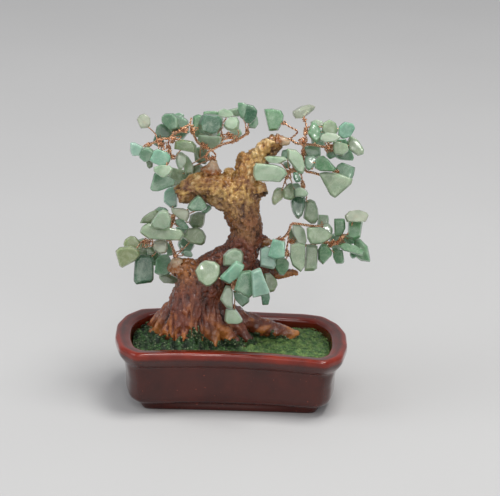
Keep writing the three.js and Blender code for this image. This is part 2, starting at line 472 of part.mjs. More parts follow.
/** The place of each ring along a curve, with two directions across it carried without twist. */
function ringsAlong(curve, rings) {
  const frames = [];
  const start = curve.getTangent(0);
  const reference = Math.abs(start.y) > 0.9 ? new THREE.Vector3(1, 0, 0) : new THREE.Vector3(0, 1, 0);
  let side = reference.cross(start);
  for (let i = 0; i <= rings; i += 1) {
    const along = curve.getTangent(i / rings);
    side = side.clone().addScaledVector(along, -side.dot(along)).normalize();
    frames.push({ place: curve.getPoint(i / rings), side, front: along.clone().cross(side) });
  }
  return frames;
}

/**
 * A solid of round section along a path. `radiusAt(t, angle)` gives its radius; both ends close
 * on the path.
 */
function limbAlong(points, radiusAt, rings, sides) {
  const frames = ringsAlong(new THREE.CatmullRomCurve3(points, false, 'centripetal'), rings);
  const profile = [new THREE.Vector2(0, 0)];
  for (let i = 0; i <= rings; i += 1) profile.push(new THREE.Vector2(1, i / rings));
  profile.push(new THREE.Vector2(0, 1));
  const geometry = new THREE.LatheGeometry(profile, sides);
  const spots = geometry.getAttribute('position');
  const vertex = new THREE.Vector3();
  for (let i = 0; i < spots.count; i += 1) {
    vertex.fromBufferAttribute(spots, i);
    const ring = frames[Math.round(vertex.y * rings)];
    const reach = radiusAt(vertex.y, Math.atan2(vertex.z, vertex.x));
    const spot = ring.place.clone()
      .addScaledVector(ring.side, vertex.x * reach)
      .addScaledVector(ring.front, vertex.z * reach);
    spots.setXYZ(i, spot.x, spot.y, spot.z);
  }
  const limb = solidFrom(geometry);
  return limb.volume() > 0 ? limb : solidFrom(flipped(geometry));
}

/** The same geometry with every triangle turned over. */
function flipped(geometry) {
  const turned = geometry.clone();
  const index = turned.index.array;
  for (let i = 0; i < index.length; i += 3) [index[i + 1], index[i + 2]] = [index[i + 2], index[i + 1]];
  return turned;
}

/** A plain wire or bundle of wires through the given points. */
function wireThrough(points, radius, spacing, sides) {
  let length = 0;
  for (let i = 1; i < points.length; i += 1) length += points[i].distanceTo(points[i - 1]);
  const legs = points.length - 1;
  const rings = legs * Math.max(1, Math.round(length / spacing / legs));
  return limbAlong(points, () => radius, rings, sides);
}

/** A round bar between two points. */
function rod(from, to, radius, sides) {
  return limbAlong([from, to], () => radius, 1, sides);
}

// ---- Pot, fill and moss -------------------------------------------------------------------

/** The pot's plan corners, moved in by `inset`, anticlockwise from the front left. */
function potCorners(inset) {
  const right = POT_RIGHT_CORNERS.map(([x, y]) => new THREE.Vector2(x, y));
  const left = POT_RIGHT_CORNERS.map(([x, y]) => new THREE.Vector2(-x, y)).reverse();
  const corners = [left.pop(), ...right, ...left];
  const count = corners.length;
  return corners.map((corner, i) => {
    const before = corners[(i + count - 1) % count];
    const after = corners[(i + 1) % count];
    const normalA = corner.clone().sub(before).normalize().rotateAround(new THREE.Vector2(), Math.PI / 2);
    const normalB = after.clone().sub(corner).normalize().rotateAround(new THREE.Vector2(), Math.PI / 2);
    const mitre = normalA.clone().add(normalB).divideScalar(1 + normalA.dot(normalB));
    return corner.clone().addScaledVector(mitre, inset);
  });
}

const SIDE_STEPS = [8, 2, 1, 2, 1, 2, 1, 6, 1, 2, 1, 2, 1, 2];      // plan points along each side
const PLAN_STEPS = SIDE_STEPS.reduce((sum, steps) => sum + steps, 0);

/** The pot's plan at height z as a list of points, `inset` in from the rim's outer edge. */
function potPlan(inset, z) {
  const corners = potCorners(inset);
  const bow = THREE.MathUtils.lerp(FOOT_BOW, FRONT_BOW, THREE.MathUtils.smoothstep(z, 0, 8));
  const outline = [];
  SIDE_STEPS.forEach((steps, side) => {
    const from = corners[side];
    const to = corners[(side + 1) % corners.length];
    for (let i = 0; i < steps; i += 1) {
      const t = i / steps;
      const point = from.clone().lerp(to, t);
      if (side === 0) point.y += bow * 4 * t * (1 - t);
      outline.push(point);
    }
  });
  return outline;
}

/** Where a point of the pot at plan place x and height z stands once the rim is tilted. */
function tilted(x, y, z) {
  return z - RIM_TILT * x * THREE.MathUtils.smoothstep(z, TILT_FROM, TILT_FULL);
}

/**
 * A solid whose level sections are the pot's plan, in the tree's own frame. The profile is a list
 * of [inset, z]; an inset of null means the middle of the plan.
 */
function potShaped(profile, heightAt = (x, y, z) => z) {
  const geometry = new THREE.LatheGeometry(
    profile.map(([inset], i) => new THREE.Vector2(inset === null ? 0 : 1, i)), PLAN_STEPS);
  const spots = geometry.getAttribute('position');
  const plans = profile.map(([inset, z]) => (inset === null ? null : potPlan(inset, z)));
  for (let i = 0; i < spots.count; i += 1) {
    const level = Math.round(spots.getY(i));
    const turn = Math.round((Math.atan2(spots.getZ(i), spots.getX(i)) / (2 * Math.PI)) * PLAN_STEPS);
    const plan = plans[level];
    const point = plan ? plan[(turn + PLAN_STEPS) % PLAN_STEPS] : new THREE.Vector2(0, 0);
    const height = heightAt(point.x, point.y, profile[level][1]);
    spots.setXYZ(i, point.x - TREE_PLACE[0], point.y - TREE_PLACE[1], height - TREE_PLACE[2]);
  }
  const body = solidFrom(geometry);
  return body.volume() > 0 ? body : solidFrom(flipped(geometry));
}

function potSolid() {
  return potShaped([
    [null, 0], [12.3, 0], [11.3, 0.8], [10.5, 2.6], [10, 4.2], [8.4, 5], [6, 6], [4.8, 7.8],
    [4.25, 11], [4.15, 16], [4.3, 20], [4.1, 22.6], [3.4, 23.9], [2, 25.8], [0.8, 27.6], [0.1, 29.4],
    [0, 30.6], [0.5, 31.8], [1.6, POT_HEIGHT], [5.8, POT_HEIGHT], [7, 32], [7.6, 31], [7.8, 27],
    [INNER_WALL, 10], [INNER_WALL + 1.6, POT_FLOOR_TOP], [null, POT_FLOOR_TOP],
  ], tilted);
}

function fillSolid(trunkCutter) {
  const wall = INNER_WALL + FIT_GAP;
  return potShaped([
    [null, POT_FLOOR_TOP + FIT_GAP], [wall + 1.8, POT_FLOOR_TOP + FIT_GAP], [wall, 9.6],
    [wall, FILL_TOP], [null, FILL_TOP],
  ]).subtract(trunkCutter);
}

/** The moss waves gently, and sinks towards the pot's wall. */
function mossHeight(x, y) {
  const short = Math.sin(x * 0.31 + 1) * Math.cos(y * 0.37);
  const long = Math.sin(x * 0.13 - y * 0.5);
  return MOSS_TOP + MOSS_BUMP * (short + 0.5 * long);
}

function mossSolid(trunkCutter) {
  const bottom = FILL_TOP + FIT_GAP;
  const wall = INNER_WALL + FIT_GAP;
  const rows = [[null, bottom], [wall, bottom], [wall, MOSS_TOP - 1.4]];
  for (const inset of [10, 13, 16]) rows.push([inset, MOSS_TOP]);
  rows.push([null, MOSS_TOP]);
  const heightAt = (x, y, z) => (z === MOSS_TOP ? mossHeight(x, y) : z);
  return potShaped(rows, heightAt).subtract(trunkCutter);
}

// ---- Trunk and plugs ----------------------------------------------------------------------

/** One limb with shallow bark ridges, `grow` thicker all round. */
function barkLimb(limb, index, grow) {
  const points = limb.map(([x, y, z]) => new THREE.Vector3(x, y, z));
  const radii = limb.map(([, , , radius]) => radius);
  const last = radii.length - 1;
  const radiusAt = (t, angle) => {
    const at = t * last;
    const low = Math.min(last - 1, Math.floor(at));
    const radius = THREE.MathUtils.lerp(radii[low], radii[low + 1], at - low);
    const ridge = 1 + 0.05 * Math.sin(3 * angle + index + 9 * t) + 0.035 * Math.sin(5 * angle - 14 * t);
    return radius * ridge + grow;
  };
  const big = last > 8;
  return limbAlong(points, radiusAt, big ? 24 : last * 2 + 1, big ? 12 : 8);
}

function trunkBody(grow) {
  return Manifold.union(Object.values(TRUNK_LIMBS).map((limb, i) => barkLimb(limb, i, grow)));
}

/** The start, the outward direction and the shape of a stem's socket. */
function socketOf(stem) {
  const { at, towards, mound, rise } = STEMS[stem].socket;
  return {
    mouth: new THREE.Vector3(...at), out: new THREE.Vector3(...towards).normalize(), mound, rise,
  };
}

function socketHole(stem) {
  const { mouth, out } = socketOf(stem);
  const bottom = mouth.clone().addScaledVector(out, -SOCKET_DEPTH);
  return rod(bottom, mouth.clone().addScaledVector(out, 4), SOCKET_RADIUS, 8);
}

function trunkSolid(body) {
  const holes = Object.keys(STEMS).map(socketHole);
  const knot = new THREE.Vector3(...KNOT_HOLE.at);
  const inside = knot.clone().addScaledVector(new THREE.Vector3(-0.3, 1, 0).normalize(), KNOT_HOLE.depth);
  holes.push(rod(knot, inside, KNOT_HOLE.radius, 8));
  return Manifold.difference([body, ...holes]);
}

/** A hot-melt plug: a shaft in the socket and a mound that narrows round the stem. */
function plugSolid(stem, trunkCutter, stemCutter) {
  const { mouth, out, mound, rise } = socketOf(stem);
  const step = (distance) => mouth.clone().addScaledVector(out, distance);
  const shaft = rod(step(-SOCKET_DEPTH + FIT_GAP), step(0.5), PLUG_RADIUS, 8);
  const taper = (t) => THREE.MathUtils.lerp(mound, 1.5, t ** 0.7);
  const cone = limbAlong([step(-1.5), step(rise / 2), step(rise)], taper, 4, 10);
  const around = trunkCutter.subtract(socketHole(stem));
  return largest(Manifold.union([shaft, cone]).subtract(around).subtract(stemCutter));
}

/** The biggest body of a solid that a cut may have left in several. */
function largest(solid) {
  return solid.decompose().reduce((best, body) => (body.volume() > best.volume() ? body : best));
}

// ---- Stems --------------------------------------------------------------------------------

/** A stem's runs as lists of points in space; the first starts at the bottom of the socket. */
function stemRuns(stem) {
  const { mouth, out } = socketOf(stem);
  return STEMS[stem].runs.map((run, i) => {
    const points = run.map(([x, z, y]) => placed(x, z, y));
    if (i > 0) return points;
    const foot = mouth.clone().addScaledVector(out, -SOCKET_DEPTH + 1);
    return [foot, mouth.clone().addScaledVector(out, 1), ...points.slice(1)];
  });
}

function stemSolid(stem, radius) {
  return Manifold.union(stemRuns(stem).map((points) => wireThrough(points, radius, 3.4, 5)));
}

/** The place on a stem, clear of its glue, that is nearest to a point. */
function nearestOnStem(stem, point) {
  const { mouth, rise } = socketOf(stem);
  let best = null;
  for (const points of stemRuns(stem)) {
    for (const spot of new THREE.CatmullRomCurve3(points, false, 'centripetal').getPoints(40)) {
      if (spot.distanceTo(mouth) < rise + 1.6) continue;
      if (!best || spot.distanceTo(point) < best.distanceTo(point)) best = spot;
    }
  }
  return best;
}

// ---- Stones -------------------------------------------------------------------------------

/**
 * A drilled chip: the hull of its outline at its middle and of smaller, shifted outlines at its
 * front and back, leaned so that no two chips face the same way.
 */
function chipPoints(chip, index) {
  const [depth, thickness, outline] = chip;
  const middle = outline.reduce((sum, [x, z]) => sum.add(new THREE.Vector2(x, z)), new THREE.Vector2())
    .divideScalar(outline.length);
  const centre = placed(middle.x, middle.y, depth);
  const lean = [chance(index, 1) - 0.5, chance(index, 2) - 0.5];
  const layers = [
    { at: -0.5, size: CHIP_SWELL * (0.76 + 0.16 * chance(index, 3)) },
    { at: chance(index, 4) * 0.3 - 0.15, size: CHIP_SWELL },
    { at: 0.5, size: CHIP_SWELL * (0.76 + 0.16 * chance(index, 5)) },
  ];
  const points = [];
  for (const { at, size } of layers) {
    const slack = (CHIP_SWELL - size) * 0.7;
    for (const [x, z] of outline) {
      const across = (x - middle.x) * size + slack * thickness * lean[0];
      const up = (z - middle.y) * Math.cos(VIEW_SLOPE) * size + slack * thickness * lean[1];
      const away = at * thickness + 0.45 * (lean[0] * across + lean[1] * up);
      points.push(new THREE.Vector3(centre.x + across, centre.y, centre.z)
        .addScaledVector(UPWARD, up).addScaledVector(SIGHT, away));
    }
  }
  return { centre, points };
}

/** A chip's hull, `grow` larger all round, slid `slide` back along the line of view. */
function chipSolid({ centre, points }, grow, slide) {
  const hull = new ConvexGeometry(points.map((point) => {
    const arm = point.clone().sub(centre);
    return arm.setLength(arm.length() + grow).add(centre).addScaledVector(SIGHT, slide);
  }));
  return solidFrom(hull);
}

/** Whether two solids share space. */
function overlaps(a, b) {
  const boxA = a.boundingBox();
  const boxB = b.boundingBox();
  const apart = [0, 1, 2].some((i) => boxA.max[i] < boxB.min[i] || boxB.max[i] < boxA.min[i]);
  return !apart && a.intersect(b).volume() > 1e-4;
}

/** Places every chip, sliding it along the line of view until it clears what is already there. */
function placeChips(obstacles) {
  const chips = [];
  for (const [stem, twigs] of Object.entries(TWIGS)) {
    twigs.forEach((twig, twigIndex) => twig.forEach((chip, order) => {
      chips.push({ stem, twigIndex, order, depth: chip[0], shape: chipPoints(chip, chips.length) });
    }));
  }
  const taken = [...obstacles];
  for (const chip of [...chips].sort((a, b) => Math.abs(a.depth) - Math.abs(b.depth))) {
    const step = chip.depth < 0 ? -0.5 : 0.5;
    let slide = 0;
    while (taken.some((other) => overlaps(chipSolid(chip.shape, FIT_GAP, slide), other))) slide += step;
    chip.solid = chipSolid(chip.shape, 0, slide);
    chip.centre = chip.shape.centre.clone().addScaledVector(SIGHT, slide);
    taken.push(chip.solid);
  }
  return chips;
}

/** A twig's wire, from beside its stem through the middles of its chips. */
function twigRoute(stem, centres, bow) {
  const root = nearestOnStem(stem, centres[0]);
  const arm = centres[0].clone().sub(root);
  const gap = Math.min(arm.length() * 0.5, STEM_RADIUS + WIRE_RADIUS + FIT_GAP);
  const start = root.clone().add(arm.clone().setLength(gap));
  const middle = start.clone().lerp(centres[0], 0.5).add(bow);
  return [start, middle, ...centres];
}

/** Bows to try, nearest to straight first, so that wires pass each other. */
function bows() {
  const list = [new THREE.Vector3()];
  for (const size of [1, 2, 3.2, 4.6]) {
    for (let i = 0; i < 8; i += 1) {
      const angle = (i * Math.PI) / 4;
      const rise = Math.sin(angle) * size * 0.7;
      list.push(new THREE.Vector3(Math.cos(angle) * size, rise, rise));
    }
  }
  return list;
}

/** The wires of all twigs, each bowed until it clears the stems, the trunk and other wires. */
function placeWires(chips, obstacles) {
  const wires = [];
  for (const [stem, twigs] of Object.entries(TWIGS)) {
    twigs.forEach((_, twigIndex) => {
      const own = chips.filter((chip) => chip.stem === stem && chip.twigIndex === twigIndex);
      const centres = own.map((chip) => chip.centre);
      const taken = [...obstacles, ...wires.map((wire) => wire.solid)];
      let route = null;
      for (const bow of bows()) {
        route = twigRoute(stem, centres, bow);
        const swollen = wireThrough(route, WIRE_RADIUS + 0.15, 9, 5);
        if (!taken.some((other) => overlaps(swollen, other))) break;
        route = null;
      }
      if (!route) throw new Error(`no way for the wire of ${stem} ${twigIndex + 1}`);
      const solid = wireThrough(route, WIRE_RADIUS, 9, 5);
      wires.push({ stem, twigIndex, solid, cutter: wireThrough(route, WIRE_RADIUS + FIT_GAP, 9, 5) });
    });
  }
  return wires;
}

/** One twig: its chips, each cleared of the wires of other twigs, joined by its own wire. */
function twigSolid(wire, chips, wires) {
  const parts = [wire.solid];
  for (const chip of chips) {
    if (chip.stem !== wire.stem || chip.twigIndex !== wire.twigIndex) continue;
    const passing = wires.filter((other) => other !== wire && overlaps(chip.solid, other.cutter));
    parts.push(Manifold.difference([chip.solid, ...passing.map((other) => other.cutter)]));
  }
  return largest(Manifold.union(parts));
}

// ---- The whole tree -----------------------------------------------------------------------

const glaze = new THREE.MeshStandardMaterial({ color: 0x4b2b2b, roughness: 0.22, metalness: 0 });
const plaster = new THREE.MeshStandardMaterial({ color: 0xc9c2b4, roughness: 0.9, metalness: 0 });
const moss = new THREE.MeshStandardMaterial({ color: 0x47693c, roughness: 0.8, metalness: 0 });
const bark = new THREE.MeshStandardMaterial({ color: 0x8a5a24, roughness: 0.45, metalness: 0 });
const hotMelt = new THREE.MeshStandardMaterial({ color: 0xcbb6a4, roughness: 0.35, metalness: 0 });
const copper = new THREE.MeshStandardMaterial({ color: 0xb9693f, roughness: 0.3, metalness: 1 });
const stone = new THREE.MeshStandardMaterial({ color: 0x6f9a80, roughness: 0.25, metalness: 0 });

function buildTree() {
  const tree = new THREE.Group();
  tree.name = 'gemstone_chip_tree';
  const body = trunkBody(0);
  const trunkCutter = trunkBody(FIT_GAP);
  tree.add(meshOf('pot', potSolid(), glaze));
  tree.add(meshOf('planting_fill', fillSolid(trunkCutter), plaster));
  tree.add(meshOf('moss_bed', largest(mossSolid(trunkCutter)), moss));
  tree.add(meshOf('trunk', trunkSolid(body), bark));

  const stemNames = Object.keys(STEMS);
  const stems = stemNames.map((stem) => stemSolid(stem, STEM_RADIUS));
  const plugs = stemNames.map((stem) => {
    const stemCutter = stemSolid(stem, STEM_RADIUS + FIT_GAP);
    return plugSolid(stem, trunkCutter, stemCutter);
  });
  stemNames.forEach((stem, i) => {
    tree.add(meshOf(`glue_plug_${stem}`, plugs[i], hotMelt));
    tree.add(meshOf(`stem_${stem}`, stems[i], copper));
  });

  const swollenStems = stemNames.map((stem) => stemSolid(stem, STEM_RADIUS + 0.1));
  const chips = placeChips([trunkCutter, ...plugs, ...swollenStems]);
  const wires = placeWires(chips, [trunkCutter, ...plugs, ...stems]);
  for (const wire of wires) {
    tree.add(meshOf(`twig_${wire.stem}_${wire.twigIndex + 1}`, twigSolid(wire, chips, wires), stone));
  }
  return tree;
}

export default buildTree();
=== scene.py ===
"""A gemstone-chip tree in a glazed pot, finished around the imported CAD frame.

Shapes are worked out in millimetres and turned into metres when a piece is made.
"""

import math
import random

import bmesh
import bpy
import numpy as np
from mathutils import Matrix, Vector, noise
from mathutils.bvhtree import BVHTree


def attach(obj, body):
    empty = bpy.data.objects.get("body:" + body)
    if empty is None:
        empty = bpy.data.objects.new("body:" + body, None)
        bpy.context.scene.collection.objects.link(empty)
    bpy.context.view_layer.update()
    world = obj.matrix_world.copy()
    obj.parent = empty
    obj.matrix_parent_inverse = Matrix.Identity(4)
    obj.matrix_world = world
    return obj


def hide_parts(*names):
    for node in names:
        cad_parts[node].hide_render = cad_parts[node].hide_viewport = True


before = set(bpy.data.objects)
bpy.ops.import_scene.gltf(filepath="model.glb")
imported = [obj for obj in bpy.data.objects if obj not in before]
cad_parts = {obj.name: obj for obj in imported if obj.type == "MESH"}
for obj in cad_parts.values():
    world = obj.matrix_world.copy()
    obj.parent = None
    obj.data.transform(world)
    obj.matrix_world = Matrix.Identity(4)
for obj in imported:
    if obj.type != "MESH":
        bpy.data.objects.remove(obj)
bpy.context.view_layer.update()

MM = 0.001
VIEW_SLOPE = math.radians(20)      # the crown is laid out face-on to a line of sight this steep
TREE_PLACE = np.array([-0.5, 5, 0])  # the tree's own origin, seen from the middle of the pot


# ---- Camera, light and floor ----

CAMERA_AZIMUTH = math.radians(-0.5)
CAMERA_ELEVATION = math.radians(20)
CAMERA_ROLL = math.radians(1.8)
CAMERA_DISTANCE = 1.0
CAMERA_TARGET = Vector((7.6, 5, 74.5)) * MM
CAMERA_LENS = 151.56               # on a 36 mm sensor
LIGHT_AIM = Vector((0.005, 0, 0.06))
SOFTBOXES = (                      # name, place and size in metres, power in watts and colour
    ("key", (0.3, -0.1, 1.3), 0.55, 11.6, (1, 0.985, 0.96)),
    ("front", (0.25, -1.6, 1.0), 1.5, 8.0, (1, 0.985, 0.97)),
    ("side", (-1.2, -0.3, 0.9), 0.9, 5.8, (0.96, 0.98, 1)),
    ("glint", (0.1, -1.0, 0.95), 0.09, 0.9, (1, 0.99, 0.97)),
)
AMBIENT_COLOUR = (0.97, 0.975, 1, 1)
AMBIENT_STRENGTH = 0.44
FLOOR_RADIUS = 6                   # metres


def link(made):
    bpy.context.scene.collection.objects.link(made)
    return made


def make_camera():
    """A camera that looks at the tree from the front and a little above."""
    a, e = CAMERA_AZIMUTH, CAMERA_ELEVATION
    back = Vector((math.sin(a) * math.cos(e), -math.cos(a) * math.cos(e), math.sin(e)))
    right = Vector((math.cos(a), math.sin(a), 0))
    up = back.cross(right)
    c, s = math.cos(CAMERA_ROLL), math.sin(CAMERA_ROLL)
    axes = Matrix((right * c + up * s, up * c - right * s, back)).transposed()
    data = bpy.data.cameras.new("camera")
    data.sensor_width = 36
    data.lens = CAMERA_LENS
    data.clip_start = 0.05
    data.clip_end = 50
    camera = link(bpy.data.objects.new("camera", data))
    camera.matrix_world = Matrix.Translation(CAMERA_TARGET + back * CAMERA_DISTANCE) @ axes.to_4x4()
    bpy.context.scene.camera = camera


def softbox(name, place, size, power, colour):
    """A square area light at a place, in metres, turned towards the object."""
    data = bpy.data.lights.new(name, "AREA")
    data.size = size
    data.energy = power
    data.color = colour
    lamp = link(bpy.data.objects.new(name, data))
    lamp.location = place
    lamp.rotation_euler = (LIGHT_AIM - Vector(place)).to_track_quat("-Z", "Y").to_euler()


def make_studio():
    scene = bpy.context.scene
    scene.view_settings.view_transform = "Standard"
    world = bpy.data.worlds.new("studio")
    world.use_nodes = True
    ambient = world.node_tree.nodes["Background"]
    ambient.inputs["Color"].default_value = AMBIENT_COLOUR
    ambient.inputs["Strength"].default_value = AMBIENT_STRENGTH
    scene.world = world
    for lamp in SOFTBOXES:
        softbox(*lamp)
    bm = bmesh.new()
    bmesh.ops.create_circle(bm, cap_ends=True, segments=64, radius=FLOOR_RADIUS)
    data = bpy.data.meshes.new("floor")
    bm.to_mesh(data)
    bm.free()
    data.materials.append(floor_paper())
    link(bpy.data.objects.new("floor", data))


# ---- Material helpers ----


def linear(red, green, blue):
    """A colour given as 0 to 255 display values, as the linear colour that shaders take."""
    def one(v):
        v /= 255
        return v / 12.92 if v <= 0.04045 else ((v + 0.055) / 1.055) ** 2.4
    return (one(red), one(green), one(blue))


class Surface:
    """A material whose nodes are added one by one, with sizes in millimetres."""

    def __init__(self, name, **sockets):
        self.material = bpy.data.materials.new(name)
        self.material.use_nodes = True
        self.tree = self.material.node_tree
        self.shader = self.tree.nodes["Principled BSDF"]
        for socket, value in sockets.items():
            self.shader.inputs[socket.replace("_", " ")].default_value = value
        self.place = self.node("ShaderNodeTexCoord").outputs["Object"]

    def node(self, kind, **settings):
        made = self.tree.nodes.new(kind)
        for key, value in settings.items():
            setattr(made, key, value)
        return made

    def join(self, source, target):
        self.tree.links.new(source, target)

    def feed(self, node, values):
        for name, value in values.items():
            if isinstance(value, bpy.types.NodeSocket):
                self.join(value, node.inputs[name])
            else:
                node.inputs[name].default_value = value

    def noise(self, size, detail=3, roughness=0.55, distortion=0):
        """Noise with features about `size` millimetres across."""
        mapping = self.node("ShaderNodeMapping")
        mapping.inputs["Scale"].default_value = [1 / (size * MM)] * 3
        self.join(self.place, mapping.inputs["Vector"])
        texture = self.node("ShaderNodeTexNoise")
        values = {"Vector": mapping.outputs["Vector"], "Scale": 1, "Detail": detail,
                  "Roughness": roughness, "Distortion": distortion}
        self.feed(texture, values)
        return texture.outputs["Fac"]

    def attribute(self, name, output="Color"):
        return self.node("ShaderNodeAttribute", attribute_name=name).outputs[output]

    def ramp(self, factor, *stops):
        """Stops are (position, colour), where a colour is 0 to 255 values or one linear grey."""
        ramp = self.node("ShaderNodeValToRGB")
        elements = ramp.color_ramp.elements
        while len(elements) < len(stops):
            elements.new(0.5)
        for element, (position, colour) in zip(elements, stops):
            element.position = position
            element.color = (*(linear(*colour) if isinstance(colour, tuple) else (colour,) * 3), 1)
        self.join(factor, ramp.inputs["Fac"])
        return ramp.outputs["Color"]

    def mix(self, factor, a, b, mode="MIX"):
        mixer = self.node("ShaderNodeMix", data_type="RGBA", blend_type=mode)
        sockets = {"Factor": mixer.inputs[0], "A": mixer.inputs[6], "B": mixer.inputs[7]}
        for key, value in (("Factor", factor), ("A", a), ("B", b)):
            if isinstance(value, bpy.types.NodeSocket):
                self.join(value, sockets[key])
            elif isinstance(value, tuple):
                sockets[key].default_value = (*linear(*value), 1)
            else:
                sockets[key].default_value = value
        return mixer.outputs[2]

    def bump(self, height, depth, strength):
        """A normal from a height, `depth` millimetres from lowest to highest."""
        node = self.node("ShaderNodeBump")
        self.feed(node, {"Height": height, "Distance": depth * MM, "Strength": strength})
        return node.outputs["Normal"]

    def use(self, **sources):
        for socket, source in sources.items():
            self.join(source, self.shader.inputs[socket.replace("_", " ")])
        return self.material


# ---- Materials ----


def floor_paper():
    paper = Surface("floor_paper", Roughness=0.85, Specular_IOR_Level=0.1)
    grain = paper.noise(220, detail=2)
    colour = paper.ramp(grain, (0.3, (190, 190, 190)), (0.7, (193, 193, 193)))
    return paper.use(Base_Color=colour)


def oxblood_glaze():
    """Dark red-brown glaze that runs thin and bright over the rim, where `thin` is near 1."""
    glaze = Surface(
        "oxblood_glaze", Roughness=0.2, Specular_IOR_Level=0.26, Coat_Weight=0.5, Coat_Roughness=0.05)
    thin = glaze.attribute("thin", "Fac")
    cloud = glaze.noise(14, detail=4, roughness=0.6)
    body = glaze.ramp(cloud, (0.3, (56, 16, 10)), (0.7, (74, 24, 14)))
    rim = glaze.ramp(cloud, (0.3, (106, 24, 10)), (0.7, (136, 38, 16)))
    blended = glaze.mix(thin, body, rim)
    specks = glaze.ramp(glaze.noise(1.3, detail=1), (0.74, 0.0), (0.8, 1.0))
    coloured = glaze.mix(specks, blended, (140, 62, 42))
    orange_peel = glaze.bump(glaze.noise(5, detail=2), 0.06, 0.5)
    return glaze.use(Base_Color=coloured, Normal=orange_peel)


def plaster():
    surface = Surface("plaster", Roughness=0.9)
    grain = surface.noise(1.2, detail=5)
    colour = surface.ramp(grain, (0.3, (178, 168, 150)), (0.7, (214, 206, 192)))
    return surface.use(Base_Color=colour, Normal=surface.bump(grain, 0.2, 0.6))


def painted_bark():
    """Painted resin. `paint` holds the brushed colour with painted light and shade, and `varnish` how glossy
    the coat is.
    """
    bark = Surface("painted_bark", Specular_IOR_Level=0.5, Coat_Weight=0.7, Coat_Roughness=0.09)
    paint = bark.attribute("paint")
    varnish = bark.attribute("varnish", "Fac")
    grit = bark.noise(0.6, detail=4, roughness=0.65)
    darker = bark.mix(bark.ramp(grit, (0.34, 1.0), (0.5, 0.0)), paint, (150, 96, 66), "MULTIPLY")
    stain = bark.mix(0.4, paint, darker)
    flecks = bark.ramp(bark.noise(0.9, detail=3, roughness=0.6), (0.58, 0.0), (0.68, 1.0))
    dry = bark.mix(flecks, stain, bark.mix(0.35, paint, (248, 214, 160)))
    # painted highlight: pale pink glints of the varnish, scattered on the glossy lower bark
    painted_glints = bark.ramp(bark.noise(0.7, detail=2), (0.66, 0.0), (0.72, 0.45))
    wet = bark.mix(painted_glints, stain, (226, 178, 150))
    brushed = bark.mix(bark.ramp(varnish, (0.4, 0.0), (0.9, 1.0)), dry, wet)
    rough = bark.ramp(varnish, (0.0, 0.42), (1.0, 0.14))
    return bark.use(Base_Color=brushed, Roughness=rough, Normal=bark.bump(grit, 0.5, 1.0))


def moss_flock(name, shine):
    moss = Surface(name, Roughness=shine, Specular_IOR_Level=0.6)
    tint = moss.attribute("tint")
    mottle = moss.noise(0.8, detail=4, roughness=0.7)
    colour = moss.mix(moss.ramp(mottle, (0.35, 0.75), (0.62, 0.0)), tint, (24, 40, 22))
    return moss.use(Base_Color=colour, Normal=moss.bump(moss.noise(0.45, detail=4), 0.4, 0.9))


def aventurine(name, translucency, clear):
    """Polished green quartz. `tone` is the chip's own colour, clouded and veined inside."""
    stone = Surface(
        name, Roughness=0.16, IOR=1.5, Subsurface_Weight=translucency, Subsurface_Scale=0.004,
        Subsurface_Radius=(0.75, 1.0, 0.88), Transmission_Weight=clear, Coat_Weight=0.45, Coat_Roughness=0.05)
    tone = stone.attribute("tone")
    cloud = stone.noise(5.2, detail=3, roughness=0.5, distortion=0.6)
    pale = stone.mix(0.26, tone, (214, 226, 206))
    deep = stone.mix(0.3, tone, (66, 112, 84))
    low = stone.mix(stone.ramp(cloud, (0.3, 1.0), (0.52, 0.0)), tone, deep)
    clouded = stone.mix(stone.ramp(cloud, (0.5, 0.0), (0.72, 0.9)), low, pale)
    swirl = stone.noise(3.4, detail=5, roughness=0.6, distortion=1.6)
    veins = stone.ramp(swirl, (0.47, 0.0), (0.5, 0.2), (0.53, 0.0))
    veined = stone.mix(veins, clouded, (206, 220, 200))
    specks = stone.ramp(stone.noise(0.5, detail=2), (0.7, 0.0), (0.78, 0.3))
    coloured = stone.mix(specks, veined, (72, 100, 76))
    pits = stone.bump(stone.noise(1.6, detail=3), 0.04, 0.3)
    return stone.use(Base_Color=coloured, Normal=pits)


def copper():
    """Bare copper with painted light: bright, with painted highlights, on the outside of a twist (`crown`
    near 1), and painted shade in its grooves.
    """
    wire = Surface("copper_wire", Metallic=1.0)
    # noise for the copper's wear and for where its painted sheen falls
    wear_and_sheen = wire.noise(1.8, detail=3)
    # copper colour running up to a near-white painted highlight
    bright = wire.ramp(
        wear_and_sheen, (0.3, (236, 160, 112)), (0.55, (255, 208, 168)), (0.75, (255, 230, 208)))
    # painted shade: dark copper in the grooves between strands
    groove_shade = wire.ramp(wear_and_sheen, (0.3, (80, 28, 14)), (0.7, (150, 68, 36)))
    colour = wire.mix(wire.ramp(wire.attribute("crown", "Fac"), (0.55, 0.0), (0.95, 1.0)), groove_shade, bright)
    rough = wire.ramp(wire.noise(1.1, detail=2), (0.3, 0.2), (0.7, 0.36))
    return wire.use(Base_Color=colour, Roughness=rough)


def hot_melt():
    """Milky glue, clouded with pale bubbles and stained by the paint below."""
    glue = Surface(
        "hot_melt", Roughness=0.2, Subsurface_Weight=0.7, Subsurface_Scale=0.0018,
        Subsurface_Radius=(1.0, 0.7, 0.5), Transmission_Weight=0.3, IOR=1.45, Coat_Weight=0.3)
    stain = glue.attribute("tint")
    cloud = glue.noise(1.7, detail=4, distortion=0.6)
    milk = glue.mix(glue.ramp(cloud, (0.45, 0.0), (0.66, 0.5)), stain, (226, 212, 192))
    return glue.use(Base_Color=milk, Normal=glue.bump(glue.noise(0.8, detail=3), 0.25, 0.7))


# ---- Mesh helpers ----


